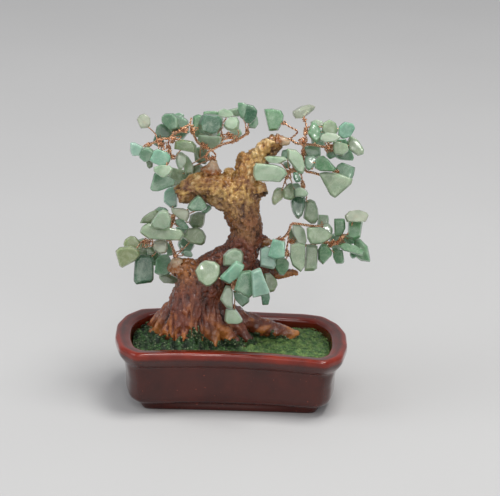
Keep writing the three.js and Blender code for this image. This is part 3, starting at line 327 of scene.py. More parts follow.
def make_piece(name, points, faces, material, replaces=(), attributes=None):
    """A smooth piece of the object from points in millimetres. It rides on the root body.

    `attributes` maps a name to one value or colour for each point.
    """
    mesh = bpy.data.meshes.new(name)
    mesh.from_pydata((np.asarray(points, float) * MM).tolist(), [], [list(map(int, f)) for f in faces])
    mesh.polygons.foreach_set("use_smooth", [True] * len(mesh.polygons))
    for key, values in (attributes or {}).items():
        write_attribute(mesh, key, np.asarray(values, np.float32))
    mesh.materials.append(material)
    mesh.validate()
    declare(link(bpy.data.objects.new(name, mesh)), replaces)


def declare(piece, replaces=()):
    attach(piece, "root")
    if replaces:
        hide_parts(*replaces)


def write_attribute(mesh, key, values, domain="POINT"):
    if values.ndim == 1:
        mesh.attributes.new(key, "FLOAT", domain).data.foreach_set("value", values)
        return
    colours = np.ones((len(values), 4), np.float32)
    colours[:, :3] = values
    mesh.attributes.new(key, "FLOAT_COLOR", domain).data.foreach_set("color", colours.ravel())


def points_of(mesh):
    """A mesh's points in millimetres, as an array."""
    flat = np.zeros(len(mesh.vertices) * 3, np.float32)
    mesh.vertices.foreach_get("co", flat)
    return flat.reshape(-1, 3).astype(float) / MM


def normals_of(mesh):
    flat = np.zeros(len(mesh.vertices) * 3, np.float32)
    mesh.vertex_normals.foreach_get("vector", flat)
    return flat.reshape(-1, 3).astype(float)


def evaluated(source_mesh, *modifiers):
    """The mesh that a stack of (type, settings) modifiers makes."""
    holder = link(bpy.data.objects.new("holder", source_mesh))
    for kind, settings in modifiers:
        modifier = holder.modifiers.new(kind, kind)
        for key, value in settings.items():
            setattr(modifier, key, value)
    depsgraph = bpy.context.evaluated_depsgraph_get()
    made = bpy.data.meshes.new_from_object(holder.evaluated_get(depsgraph))
    bpy.data.objects.remove(holder)
    return made


def welded(node):
    """A bmesh of a CAD node with its shared corners joined."""
    bm = bmesh.new()
    bm.from_mesh(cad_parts[node].data)
    bmesh.ops.remove_doubles(bm, verts=bm.verts, dist=0.002 * MM)
    return bm


def fine_copy(node, voxel, smoothing):
    """Points, normals and faces of a CAD node's shape, with faces about `voxel` mm across."""
    bm = welded(node)
    coarse = bpy.data.meshes.new(node + "_coarse")
    bm.to_mesh(coarse)
    bm.free()
    mesh = evaluated(
        coarse,
        ("REMESH", {"mode": "VOXEL", "voxel_size": voxel * MM}),
        ("SMOOTH", {"factor": 0.5, "iterations": smoothing}))
    return points_of(mesh), normals_of(mesh), [tuple(p.vertices) for p in mesh.polygons]


def smoothstep(low, high, value):
    t = np.clip((value - low) / (high - low), 0, 1)
    return t * t * (3 - 2 * t)


def blend(t, a, b):
    """From a to b as t goes from 0 to 1, for arrays of values or colours."""
    t = np.asarray(t)[..., None] if np.ndim(a) and np.ndim(t) else t
    return np.asarray(a) * (1 - t) + np.asarray(b) * t


def rough_noise(points, size, octaves=3, stretch=(1, 1, 1)):
    """Fractal noise of about -1 to 1 at each point, with features `size` millimetres across."""
    scale = [1 / (size * s) for s in stretch]
    return np.array([
        noise.fractal((x * scale[0], y * scale[1], z * scale[2]), 0.7, 2.1, octaves)
        for x, y, z in points])


def catmull_rom(points, steps):
    """A smooth line through points, with `steps` stretches between each two."""
    points = np.asarray(points, float)
    padded = np.vstack([2 * points[0] - points[1], points, 2 * points[-1] - points[-2]])
    line = []
    for i in range(1, len(padded) - 2):
        a, b, c, d = padded[i - 1:i + 3]
        for t in np.arange(steps) / steps:
            line.append(0.5 * (2 * b + (c - a) * t + (2 * a - 5 * b + 4 * c - d) * t * t
                               + (3 * b - a - 3 * c + d) * t ** 3))
    line.append(padded[-2])
    return np.array(line)


def evenly(line, spacing):
    """The same line with a point every `spacing` or so."""
    lengths = np.r_[0, np.cumsum(np.linalg.norm(np.diff(line, axis=0), axis=1))]
    count = max(2, int(round(lengths[-1] / spacing)) + 1)
    at = np.linspace(0, lengths[-1], count)
    return np.column_stack([np.interp(at, lengths, line[:, i]) for i in range(3)])


def loft(rings):
    """Points and faces of a closed skin over rings of equal length, closed at both ends."""
    count = len(rings[0])
    points = np.vstack([*rings, rings[0].mean(0), rings[-1].mean(0)])
    faces = []
    for r in range(len(rings) - 1):
        for i in range(count):
            j = (i + 1) % count
            faces.append((r * count + i, r * count + j, (r + 1) * count + j, (r + 1) * count + i))
    last = (len(rings) - 1) * count
    first_hub, last_hub = len(rings) * count, len(rings) * count + 1
    for i in range(count):
        j = (i + 1) % count
        faces.append((first_hub, j, i))
        faces.append((last_hub, last + i, last + j))
    return points, faces


# ---- Pot ----

POT_LENGTH = 110.8
POT_WIDTH = 61.6
POT_HEIGHT = 32.4                  # at the middle of the rim
RIM_TILT = 0.0145                  # slope of the rim, whose left end stands higher
POT_RIGHT_CORNERS = [              # the right half of the rim's plan, from front to back
    (44.6, -30.8), (52.6, -22.2), (55.4, -8), (55.4, 8), (52, 19.5), (45, 28.5), (36, 30.8)]
SIDE_STEPS = (130, 24, 26, 30, 24, 22, 18, 104, 18, 22, 24, 30, 26, 24)
FRONT_BOW = 4.5                    # how far the middle of the front bows inwards
FOOT_BOW = 0.5                     # the same at the very bottom
POT_PROFILE = [                    # [inset, z] up the outside, over the rim and down the inside
    (12.4, 0.0), (12.0, 0.3), (11.5, 1.0), (10.9, 2.2), (10.4, 3.2), (9.7, 4.0), (8.3, 4.6), (6.6, 5.4),
    (5.3, 6.6), (4.6, 8.4), (4.3, 11), (4.2, 14), (4.25, 17.4), (4.45, 20), (4.5, 21.8), (4.3, 22.9),
    (4.05, 23.5), (3.9, 23.75), (3.35, 24.3), (2.2, 25.8), (1.1, 27.5), (0.35, 29.1), (0.06, 30.3),
    (0.15, 31.3), (0.65, 32.0), (1.5, 32.33), (2.8, 32.33), (4.6, 32.15), (6.0, 31.9), (6.9, 31.4),
    (7.4, 30.6), (7.6, 29), (7.8, 26), (8.2, 20), (8.3, 10), (9.6, 7), (12, 6.1)]
END_FLARE = (                      # z, and how far the pot's ends stand out beyond the profile there
    (3, 0), (6, -0.5), (10, -0.9), (15, -1.0), (18, -0.5), (21, 0.4), (24, 1.1), (27, 0.8), (30, 0))


def pot_corners(inset):
    """The plan's corners, `inset` in from the rim, anticlockwise from the front left."""
    left = [(-x, y) for x, y in reversed(POT_RIGHT_CORNERS)]
    corners = np.array([left[-1], *POT_RIGHT_CORNERS, *left[:-1]])
    edges = np.roll(corners, -1, 0) - corners
    normals = np.column_stack([-edges[:, 1], edges[:, 0]]) / np.linalg.norm(edges, axis=1)[:, None]
    before = np.roll(normals, 1, 0)
    mitre = (before + normals) / (1 + (before * normals).sum(1))[:, None]
    return corners + mitre * inset


def pot_plan(inset, z):
    """The pot's plan at height z. Its corners are softer below the rim and inside the mouth."""
    corners = pot_corners(inset)
    bow = float(blend(smoothstep(0, 8, z), FOOT_BOW, FRONT_BOW))
    outline = []
    for side, steps in enumerate(SIDE_STEPS):
        start, end = corners[side], corners[(side + 1) % len(corners)]
        t = np.arange(steps)[:, None] / steps
        stretch = start + (end - start) * t
        if side == 0:
            stretch[:, 1] += (bow * 4 * t * (1 - t))[:, 0]
        outline.append(stretch)
    outline = np.vstack(outline)
    inside = smoothstep(5.4, 7.6, inset) * smoothstep(20, 28, z)
    passes = int(22 + 48 * (1 - smoothstep(22, 29, z)) + 70 * inside)
    for _ in range(passes):
        outline = (np.roll(outline, 1, 0) + 2 * outline + np.roll(outline, -1, 0)) / 4
    return outline


def flared(points):
    """The pot's outside with its ends, which flare more gently than the front, moved by END_FLARE."""
    x, y, z = points.T
    push = np.interp(z, *np.transpose(END_FLARE)) * smoothstep(34, 52, np.abs(x))
    return np.column_stack([x + np.sign(x) * push, y, z])


def tilted(points):
    """The pot's points once its rim leans to the right."""
    x, y, z = points.T
    return np.column_stack([x, y, z - RIM_TILT * x * smoothstep(8, 26, z)])


def make_pot(glaze):
    """The lofted pot. Its glaze is thin on the rim's crest and, in part, just inside it."""
    profile = catmull_rom(np.array([(inset, z, 0) for inset, z in POT_PROFILE]), 4)[:, :2]
    rings = [np.column_stack([pot_plan(inset, z), np.full(sum(SIDE_STEPS), z)]) for inset, z in profile]
    crest_ring = int(np.argmax(profile[:, 1]))
    rings = [flared(ring) if i < crest_ring else ring for i, ring in enumerate(rings)]
    points, faces = loft(rings)
    around = len(rings[0])
    level = np.repeat(profile[:, 1], around)
    inset = np.repeat(profile[:, 0], around)
    crest = smoothstep(28.2, 30.2, level) * (1 - smoothstep(1.4, 3.6, inset))
    inside = smoothstep(2.6, 6.4, inset) * smoothstep(25, 31, level)
    thin = np.clip(crest + 0.5 * inside, 0, 1)
    thin = np.r_[thin, 0, 0]
    wave = rough_noise(points, 17, 2)[:, None]
    points = points + wave * np.array([0.12, 0.12, 0.05]) * smoothstep(1, 6, points[:, 2])[:, None]
    half = np.array([POT_LENGTH / 2, POT_WIDTH / 2])
    points[:, :2] = np.clip(points[:, :2], -half, half)
    points[:, 2] = np.clip(points[:, 2], 0, POT_HEIGHT)
    patch = rough_noise(points, 9, 3)
    thin = np.clip(thin * (1 + 0.45 * patch) + 0.1 * np.clip(patch, 0, 1), 0, 1)
    make_piece("pot_glazed", tilted(points), faces, glaze, ["pot"], {"thin": thin})


# ---- Trunk ----

ROOT_CENTRE = (-18.5, 5)           # the roots run down and out from this upright line
TRUNK_VOXEL = 0.46
BARK_DEPTH = 0.85                  # how far a relief of 1 stands out
BARK_SINK = 0.15                   # how far a relief of 0 lies below the CAD surface
KNOT_HOLE = (14.6, -5.6, 103.6)    # the hole in the right-hand knot, painted dark as its shade
GOLDEN_SPOTS = (                   # bright ochre brushed on lower down: x, y, z and its reach
    (-23, 2, 64, 7), (28, 5, 62, 8), (32, 8, 29, 5), (-35, 5, 31, 5), (-6, -4, 32, 5))


def bark_relief(points):
    """How far the bark stands out at each point: root ridges low down, crumbly bark above.

    The strands run up the bole, and along the level branch at the top left.
    """
    x, y, z = points.T
    turn = np.arctan2(y - ROOT_CENTRE[1], x - ROOT_CENTRE[0])
    reach = np.hypot(x - ROOT_CENTRE[0], y - ROOT_CENTRE[1])
    along = (reach - z) * 0.12
    flow = np.column_stack([np.cos(turn) * 2.9, np.sin(turn) * 2.9, along * 0.45])
    fine_flow = np.column_stack([np.cos(turn) * 7, np.sin(turn) * 7, along * 0.9])
    ridges = 1 - 2.4 * np.abs(rough_noise(flow, 1, 2))
    fine_ridges = 1 - 2.4 * np.abs(rough_noise(fine_flow, 1, 2))
    lumps = rough_noise(points, 4.6, 3)
    crumbs = rough_noise(points, 1.5, 3)
    upright = 1 - 2.2 * np.abs(rough_noise(points, 2.2, 3, (1, 1, 3)))
    level = 1 - 2.2 * np.abs(rough_noise(points, 2.2, 3, (2.6, 1, 1)))
    branch = (1 - smoothstep(-8, 0, x)) * smoothstep(92, 97, z)
    strands = upright * (1 - branch) + level * branch
    low = 1 - smoothstep(44, 62, z)
    high = smoothstep(84, 100, z)
    middle = 1 - low - high
    relief = low * (1.3 * ridges + 0.5 * fine_ridges + 0.25 * crumbs)
    relief += middle * (0.7 * strands + 0.4 * crumbs + 0.5 * lumps)
    relief += high * (1.1 * lumps + 0.8 * crumbs + 0.6 * strands)
    return relief


def bark_paint(points, normals, relief):
    """Brushed colour and varnish: ochre crumbs at the top, glossy red-brown roots below, with painted light
    and shade: lighter raised bark, pale highlights on crests and root ridges, shade in hollows, on undersides
    and in the knot's hole.
    """
    z = points[:, 2]
    drift = rough_noise(points, 14, 2)
    height = smoothstep(76, 104, z + 14 * drift)
    # light: 0 in the bark's hollows, 1 on its raised parts; the colours below get lighter where it is high,
    # as painted light and shade
    light = smoothstep(-1.0, 1.0, relief + 0.35 * rough_noise(points, 2.2, 2))
    # deep: 1 in the bark's hollows, where painted shade goes
    deep = 1 - smoothstep(-1.3, -0.4, relief)
    crest = smoothstep(0.7, 1.5, relief)
    warm = smoothstep(-0.5, 0.5, rough_noise(points, 9, 2))
    upper = blend(light, linear(126, 70, 20), blend(warm, linear(220, 176, 98), linear(198, 140, 66)))
    # painted highlight: pale cream on the raised crests
    upper = blend(crest * 0.7, upper, linear(246, 220, 166))
    lower = blend(light, linear(48, 15, 10), linear(126, 58, 32))
    paint = blend(height, lower, upper)
    # painted highlight: orange in patches on the raised root ridges, strongest low on the trunk
    patches = smoothstep(0.0, 0.6, rough_noise(points, 6, 2) + 0.25)
    orange_ridge_highlight = (1 - height) * smoothstep(0.5, 1.3, relief) * patches * (0.4 + 0.6 * (1 - smoothstep(32, 44, z)))
    paint = blend(orange_ridge_highlight, paint, linear(204, 124, 62))
    olive = height * smoothstep(0.2, 0.6, rough_noise(points, 7, 2)) * 0.3
    paint = blend(olive, paint, linear(158, 140, 66))
    pink = smoothstep(0.15, 0.6, rough_noise(points[:, [1, 2, 0]], 8, 2)) * 0.4
    paint = blend(pink, paint, blend(height, linear(96, 50, 40), linear(172, 118, 90)))
    # painted shade: the downward-facing undersides of the upper bark darkened
    underside_shade = height * (1 - smoothstep(-0.7, 0.3, normals[:, 2])) * 0.85
    paint = blend(underside_shade, paint, blend(light, linear(58, 26, 10), linear(118, 64, 26)))
    # painted shade: the bark's hollows darkened
    paint = blend(deep * (0.9 - 0.25 * height), paint, linear(48, 20, 10))
    for *centre, reach in GOLDEN_SPOTS:
        gold = 0.75 * np.exp(-(((points - centre) / reach) ** 2).sum(1)) * light
        paint = blend(gold, paint, linear(218, 146, 72))
    # painted shade: a near-black spot where the knot's hole is
    spot = TREE_PLACE + KNOT_HOLE
    hole_shade = 1 - smoothstep(0.9, 2.0, np.linalg.norm((points - spot) * (1, 0.5, 1), axis=1))
    paint = blend(hole_shade * 0.95, paint, linear(22, 10, 8))
    return paint, 1 - 0.75 * height


def make_trunk(bark):
    """The trunk piece. Gives a search tree of its faces, its points, their normals and relief."""
    points, normals, faces = fine_copy("trunk", TRUNK_VOXEL, 6)
    relief = bark_relief(points)
    points = points + normals * (BARK_DEPTH * relief - BARK_SINK)[:, None]
    paint, varnish = bark_paint(points, normals, relief)
    attributes = {"paint": paint, "varnish": varnish}
    make_piece("trunk_bark", points, faces, bark, ["trunk"], attributes)
    return BVHTree.FromPolygons(points.tolist(), faces), points, normals, relief


# ---- Moss ----

MOSS_TOP = 27.3
MOSS_BUMP = 0.5
MOSS_BOTTOM = 23.9
MOSS_INSET = 7.9                   # against the pot's inside wall, so that no gap shows
DARK_MOSS = linear(18, 40, 20)
LEAF_MOSS = linear(74, 116, 60)
BRIGHT_MOSS = linear(130, 162, 88)
# painted highlight: pale flakes that stand for glints of the varnish on the moss
GLINT_PALE_MOSS = np.array(linear(190, 206, 160))
MOSS_HEAPS = (                     # x, y, reach and height of the heaps against the roots
    (-18, -10.8, 4.2, 7.4), (-27, -8, 4, 2.8), (-34, -4, 5, 2.8), (-42, 4, 6, 2.4), (-41, -9, 6, 1.0),
    (-3, -11.5, 5, 2.4), (9, -8, 4, 2.0), (33, 13, 6, 0.9))


def moss_height(x, y, trunk_tree):
    """The moss's top at (x, y): waves, roughness, a climb against the roots and the heaps."""
    wave = math.sin(x * 0.31 + 1) * math.cos(y * 0.37) + 0.5 * math.sin(x * 0.13 - y * 0.5)
    level = MOSS_TOP + MOSS_BUMP * wave
    rough = 1 + 1.2 * float(1 - smoothstep(-8, 8, x))
    level += rough * (0.5 * noise.noise((x / 2.6, y / 2.6, 0)) + 0.3 * noise.noise((x / 1.2, y / 1.2, 4)))
    near = trunk_tree.find_nearest((x, y, level))[3]
    climb = math.exp(-near / 2.0) * (1.4 + 1.8 * noise.noise((x / 3, y / 3, 9)))
    heap = sum(
        high * math.exp(-((x - u) ** 2 + (y - v) ** 2) / reach ** 2) for u, v, reach, high in MOSS_HEAPS)
    clumps = heap * (0.75 + 0.9 * noise.noise((x / 2.3, y / 2.3, 6)))
    return level + max(0, climb) + clumps


def moss_tint(x, y, seed):
    """Dark under the roots on the left, brighter on the open ground to the right."""
    open_ground = smoothstep(-6, 14, x + 8 * noise.noise((x / 9, y / 9, seed)))
    patch = 0.45 + 1.5 * noise.noise((x / 2.6, y / 2.6, seed + 5))
    left = blend(float(np.clip(patch, 0, 1)), DARK_MOSS, LEAF_MOSS)
    right = blend(float(np.clip(patch, 0, 1)), LEAF_MOSS, BRIGHT_MOSS)
    return blend(float(open_ground), left, right)


def make_moss_bed(material, trunk_tree):
    rim = pot_plan(MOSS_INSET, MOSS_TOP)
    rings = [np.column_stack([rim * share, np.full(len(rim), MOSS_BOTTOM)]) for share in (0.03, 0.97)]
    rings.append(np.column_stack([rim, np.full(len(rim), MOSS_TOP - 1.6)]))
    for share in np.linspace(0.992, 0.02, 96):
        plan = rim * share
        edge = 1.3 * float(smoothstep(0.93, 1.0, share))
        heights = [moss_height(x, y, trunk_tree) - edge for x, y in plan]
        rings.append(np.column_stack([plan, heights]))
    points, faces = loft(rings)
    tints = [moss_tint(x, y, 0) for x, y, _ in points]
    make_piece("moss_ground", points, faces, material, ["moss_bed"], {"tint": tints})


FLAKE = np.array([(1, 0, 0), (-1, 0, 0), (0, 0.62, 0), (0, -0.62, 0), (0, 0, 0.4), (0, 0, -0.4)])
FLAKE_FACES = np.array([
    (0, 2, 4), (2, 1, 4), (1, 3, 4), (3, 0, 4), (2, 0, 5), (1, 2, 5), (3, 1, 5), (0, 3, 5)])


def scatter(name, material, spots):
    """Flock: one small turned flake for each (place, size, colour)."""
    draw = np.random.default_rng(11)
    points, faces, tints = [], [], []
    for place, size, tint in spots:
        axis = draw.normal(size=3)
        turn = np.array(Matrix.Rotation(draw.uniform(0, 6.28), 3, Vector(axis)))
        shape = FLAKE * draw.uniform(0.6, 1.3, (len(FLAKE), 1)) * size
        faces.append(FLAKE_FACES + len(FLAKE) * len(points))
        points.append(shape @ turn.T + place)
        tints.append(np.tile(tint, (len(FLAKE), 1)))
    attributes = {"tint": np.vstack(tints)}
    make_piece(name, np.vstack(points), np.vstack(faces), material, (), attributes)


def flake_tint(x, y, draw):
    """The ground's colour made lighter or darker. One flake in ten is painted pale, as a glint of the
    varnish.
    """
    tint = moss_tint(x, y, 0) * draw.uniform(0.35, 2.1)
    if draw.uniform() < 0.1:
        tint = GLINT_PALE_MOSS * draw.uniform(0.5, 1.2)
    return tint


def ground_flakes(count, low, high, size, trunk_tree):
    """Places, sizes and colours of flakes on the moss between two x places, inside the pot."""
    draw = np.random.default_rng(int(low * 7 + count))
    rim = pot_plan(MOSS_INSET + 0.5, MOSS_TOP)
    turns = np.arctan2(rim[:, 1], rim[:, 0])
    order = np.argsort(turns)
    reaches = np.hypot(*rim.T)
    spots = []
    while len(spots) < count:
        x, y = draw.uniform(low, high), draw.uniform(-23, 23)
        if math.hypot(x, y) > np.interp(math.atan2(y, x), turns[order], reaches[order]):
            continue
        place = np.array([x, y, moss_height(x, y, trunk_tree) + draw.uniform(-0.1, 0.25)])
        spots.append((place, draw.uniform(*size), flake_tint(x, y, draw)))
    return spots


def root_flakes(points, normals, relief, count):
    """Flakes that cling to the foot of the trunk, thickest in the grooves between the roots."""
    draw = np.random.default_rng(5)
    spots = []
    patches = rough_noise(points, 5, 2)
    front = np.exp(-((points[:, 0] + 18) / 6) ** 2) * (points[:, 1] < 8)
    reach = 29.4 + 4.5 * np.clip(patches + 0.35, 0, 1) - 1.3 * relief + 6 * front
    near = np.flatnonzero((points[:, 2] < reach) & (points[:, 2] > 27.4))
    for i in draw.choice(near, min(count, len(near)), replace=False):
        x, y, z = points[i] + normals[i] * draw.uniform(0, 0.4)
        tint = blend(draw.uniform(0, 0.8), DARK_MOSS, LEAF_MOSS) * draw.uniform(0.4, 2.0)
        # painted highlight: one flake in eight painted pale, as a glint
        if draw.uniform() < 0.12:
            tint = GLINT_PALE_MOSS
        spots.append((np.array([x, y, z]), draw.uniform(0.35, 0.8), tint))
    return spots


# ---- Twisted copper wire ----

WIRE_SIDES = 6
MAIN_ROPE = (3, 0.4, 0.27)         # strands, how far they lie off the middle line and their radius
SIDE_ROPE = (2, 0.26, 0.24)
NEST_PAIR = (2, 0.16, 0.16)
TWIG_PAIR = (2, 0.18, 0.17)


def carried_frames(line):
    """Two directions across a line at each of its points, carried along without twist."""
    tangents = np.gradient(line, axis=0)
    tangents /= np.linalg.norm(tangents, axis=1)[:, None]
    side = np.cross(tangents[0], (0.3, 0.2, 1))
    side /= np.linalg.norm(side)
    sides = []
    for tangent in tangents:
        side = side - tangent * side.dot(tangent)
        side /= np.linalg.norm(side)
        sides.append(side)
    sides = np.array(sides)
    return sides, np.cross(tangents, sides)


def tube(line, radius):
    """A closed round tube along a line, as points and faces."""
    across, up = carried_frames(line)
    turns = np.arange(WIRE_SIDES) * 2 * math.pi / WIRE_SIDES
    rings = [
        centre + radius * (np.outer(np.cos(turns), a) + np.outer(np.sin(turns), b))
        for centre, a, b in zip(line, across, up)]
    return loft(rings)


def twisted(route, strands, spread, radius, pitch, spacing, phase=0.0, jitter=0.0):
    """Strands laid round a smooth route like a rope: each one's points, faces and crown.

    The crown of a point is 0 on the rope's middle line and 1 on its outside.
    """
    line = evenly(catmull_rom(route, 10), spacing)
    across, up = carried_frames(line)
    along = np.arange(len(line)) * spacing
    made = []
    for s in range(strands):
        turn = phase + 2 * math.pi * (s / strands + along / pitch)
        wander = spread * (1 + jitter * np.sin(along * 1.3 + s * 2.1 + phase))
        centre = line + across * (np.cos(turn) * wander)[:, None] + up * (np.sin(turn) * wander)[:, None]
        points, faces = tube(centre, radius)
        hearts = np.vstack([np.repeat(line, WIRE_SIDES, 0), line[:1], line[-1:]])
        made.append((points, faces, np.linalg.norm(points - hearts, axis=1) / (spread + radius)))
    return made


def joined(parts):
    """Several (points, faces, crown) as one."""
    points, faces, crowns, start = [], [], [], 0
    for part_points, part_faces, crown in parts:
        points.append(part_points)
        faces.extend([tuple(i + start for i in face) for face in part_faces])
        crowns.append(crown)
        start += len(part_points)
    return np.vstack(points), faces, np.concatenate(crowns)


# ---- Stems: sockets as (mouth, outwards), runs of wire as (x, z) face-on and depth y ----

SOCKETS = {
    "upper_left": ((-10.8, 0, 113.2), (0.2, 0, 1)),
    "lower_left": ((-26.2, -3.4, 66.6), (-0.25, -0.3, 1)),
    "upper_right": ((20, -1, 128.5), (1, 0, -0.1)),
    "right_mid": ((15.8, -1, 78.2), (1, -0.1, 0.2)),
    "front_low": ((-1.6, -9.8, 62), (0.1, -1, 0.1)),
}
STEM_RUNS = {
    "upper_left": [
        [(-10.8, 116.4, 0), (-9.8, 119, 0), (-12.8, 118.4, 0), (-14, 119.4, 0), (-12.8, 121.8, 0),
         (-11.2, 122.8, 0)],
        [(-9.8, 119, 0), (-9.2, 120.2, 0), (-10.2, 121.4, 0), (-11.2, 122.8, 0)],
        [(-11.2, 122.8, 0), (-7, 125.2, 0), (-2, 126.9, 1), (1.6, 128.8, 1), (4.6, 131, 0), (5.6, 133, 0)],
        [(-7, 125.2, 0), (-6.2, 129, 0), (-7, 132, 0), (-7, 135.6, 1)],
        [(-11.2, 122.8, 0), (-15, 124.6, 3), (-18, 126.4, 4), (-20, 130.6, 0), (-21.6, 134.4, -2),
         (-25, 131.8, -3), (-28.6, 130.4, -3), (-31, 127.6, -3), (-34, 127.2, -3), (-37, 126, -2),
         (-39.6, 124.9, -1), (-41.4, 123.9, 0)],
        [(-31, 127.6, -3), (-31.4, 124.6, -3), (-30.6, 121, -3), (-29, 118, -3)],
        [(-21.6, 134.4, -2), (-20.9, 138, 0)],
    ],
    "lower_left": [
        [(-27.2, 66, -3), (-27.4, 70, -3.4), (-28.4, 73.4, -4), (-30, 77.6, -3), (-30.4, 82, -3),
         (-29.2, 86, -3), (-28.4, 90, -2)],
        [(-30, 77.6, -3), (-34, 75.6, -2), (-38, 76.2, -3), (-43, 76.2, -3)],
    ],
    "upper_right": [
        [(19, 128.2, -1), (22.4, 128, -1), (25, 129, -1), (28, 127.2, -1), (31.6, 127, -1)],
        [(31.6, 127, -1), (32.2, 131, 0), (32.4, 136, 1), (31.4, 140, 2)],
        [(25, 129, -1), (28.4, 132.6, -2), (24.4, 135.2, -1), (21.4, 137.2, 0)],
        [(31.6, 127, -1), (36, 126.4, -2), (41, 125.6, -2), (45, 126, -2), (49, 128, -2)],
        [(31.6, 127, -1), (31.6, 121, 0), (31.8, 115.6, -1), (30.8, 112.6, -2), (26.6, 113.6, -3),
         (24, 112, -3), (24.6, 109.4, -3)],
        [(31.8, 115.6, -1), (33.4, 113.4, -3), (36, 112.8, -4), (41, 111.6, -4), (46.4, 111.8, -4)],
        [(30.8, 112.6, -2), (31.6, 108.4, -2), (32.4, 104.6, -2)],
    ],
    "right_mid": [
        [(16.2, 77.9, -1), (19.8, 78.8, -1), (23.6, 80.2, -3), (26, 83.4, -4), (27.4, 87, -4),
         (31, 87.2, -4), (36, 86.6, -4), (40.4, 86, -4)],
        [(26, 83.4, -4), (26, 79.4, -5), (25.4, 75, -6), (25.6, 71, -7)],
        [(26, 79.4, -5), (30, 77, 0), (36, 76.8, 0), (42, 78.4, -1), (46.4, 78.4, -2), (50, 79, -2),
         (52.4, 82.4, -2)],
    ],
    "front_low": [
        [(-1, 58.6, -9), (-0.6, 58.2, -12.4), (1.4, 57, -15), (3, 56.4, -17)],
    ],
}
ROPE_SIZE = {"lower_left": 1.4}    # how wide a stem's ropes are laid, next to the others
TANGLES = {                        # face-on spots where wire ends are wound into a nest
    "upper_left": [(-23.5, 132, -3), (-34, 124, -4), (-3.5, 130, -1), (-29, 127.5, -4)],
    "lower_left": [(-29, 87, -4), (-40, 76, -4)],
    "upper_right": [
        (31.5, 128, -3), (43.5, 125, -4), (24.5, 111.5, -4), (35.5, 116.5, -3), (47, 112, -5)],
    "right_mid": [(22.5, 79, -3), (47, 77.5, -3)],
    "front_low": [(1.5, 55, -16)],
}


def placed(x, z, y):
    """The place in space of the tree's face-on spot (x, z), slid along the line of sight to y."""
    return TREE_PLACE + (x, y, z - y * math.tan(VIEW_SLOPE))


def socket_of(stem):
    """The middle of a socket's mouth and the direction out of it."""
    mouth, out = (np.array(v, float) for v in SOCKETS[stem])
    return TREE_PLACE + mouth, out / np.linalg.norm(out)


def stem_lines(stem):
    """A stem's runs as points in space. The first starts down in its socket."""
    mouth, out = socket_of(stem)
    lines = [np.array([placed(*spot) for spot in run]) for run in STEM_RUNS[stem]]
    lines[0] = np.vstack([mouth - out * 4, mouth + out, lines[0][1:]])
    return lines


def tangle(centre, draw):
    """A small nest of thin wire ends wound round one another."""
    parts = []
    for _ in range(5):
        route = centre + draw.normal(scale=1.15, size=(5, 3)) * (1.2, 0.8, 1)
        parts += twisted(route, *NEST_PAIR, 1.9, 0.28, phase=draw.uniform(0, 6))
    return parts


def make_stem(stem, material):
    """A stem's ropes, thicker on its first and longer runs, with its nests of wire ends."""
    parts = []
    for i, line in enumerate(stem_lines(stem)):
        main = i == 0 or len(line) > 4
        strands, spread, radius = MAIN_ROPE if main else SIDE_ROPE
        spread *= ROPE_SIZE.get(stem, 1)
        parts += twisted(line, strands, spread, radius, 3.6, 0.36, phase=i * 1.7, jitter=0.3)
    draw = np.random.default_rng(len(stem))
    for spot in TANGLES[stem]:
        parts += tangle(placed(*spot), draw)
    points, faces, crown = joined(parts)
    name = "stem_wires_" + stem
    make_piece(name, points, faces, material, ["stem_" + stem], {"crown": crown})


# ---- Glue ----

GLUE_SPREAD = {"upper_left": 0.6, "lower_left": 0.1}  # how much wider glue runs on the bark


def make_glue(stem, material):
    """A socket's glue, stained by the paint low down and milky above."""
    points, normals, faces = fine_copy("glue_plug_" + stem, 0.34, 3)
    drips = rough_noise(points, 1.8, 2)
    points = points + normals * (0.3 * drips + 0.1)[:, None]
    mouth, out = socket_of(stem)
    rise = (points - mouth) @ out
    heart = mouth + rise[:, None] * out
    wider = 1 + GLUE_SPREAD.get(stem, 0) * (1 - smoothstep(-1.5, 2.5, rise))
    points = heart + (points - heart) * wider[:, None]
    clean = smoothstep(0.2, 2.6, rise + 0.9 * rough_noise(points, 2.2, 2))
    tint = blend(clean, linear(172, 108, 52), linear(220, 190, 156))
    make_piece("glue_" + stem, points, faces, material, ["glue_plug_" + stem], {"tint": tint})


# ---- Stones ----

WIRE_THICKNESS = 1.15              # a node's stretches thinner than this are its wire
HOLLOW_EDGE = math.radians(-14)    # a fold inwards by more than this parts one chip from the next
BROAD_STONE = "twig_upper_right_2"  # its two solids are the halves of one broad clear stone
SMALLEST_CHIP = 2.5                # stray facets reach less far than this
EDGE_ROUND = 0.42                  # width of the bevel that rounds a stone's edges
STONE_WAVES = 0.1                  # how far a stone's faces swell and dip
CHIP_TONES = {
    "mint": (126, 157, 133), "jade": (106, 141, 113), "sage": (136, 153, 123), "olive": (118, 133, 99),
    "turquoise": (120, 167, 143), "dark": (58, 99, 73), "pale": (156, 175, 149), "milk": (176, 189, 167),
    "sky": (148, 179, 163), "gold": (142, 151, 109), "clear": (206, 213, 189), "green": (98, 139, 101),
}
COMMON_TONES = ("mint", "jade", "mint", "sage", "green", "pale", "jade")
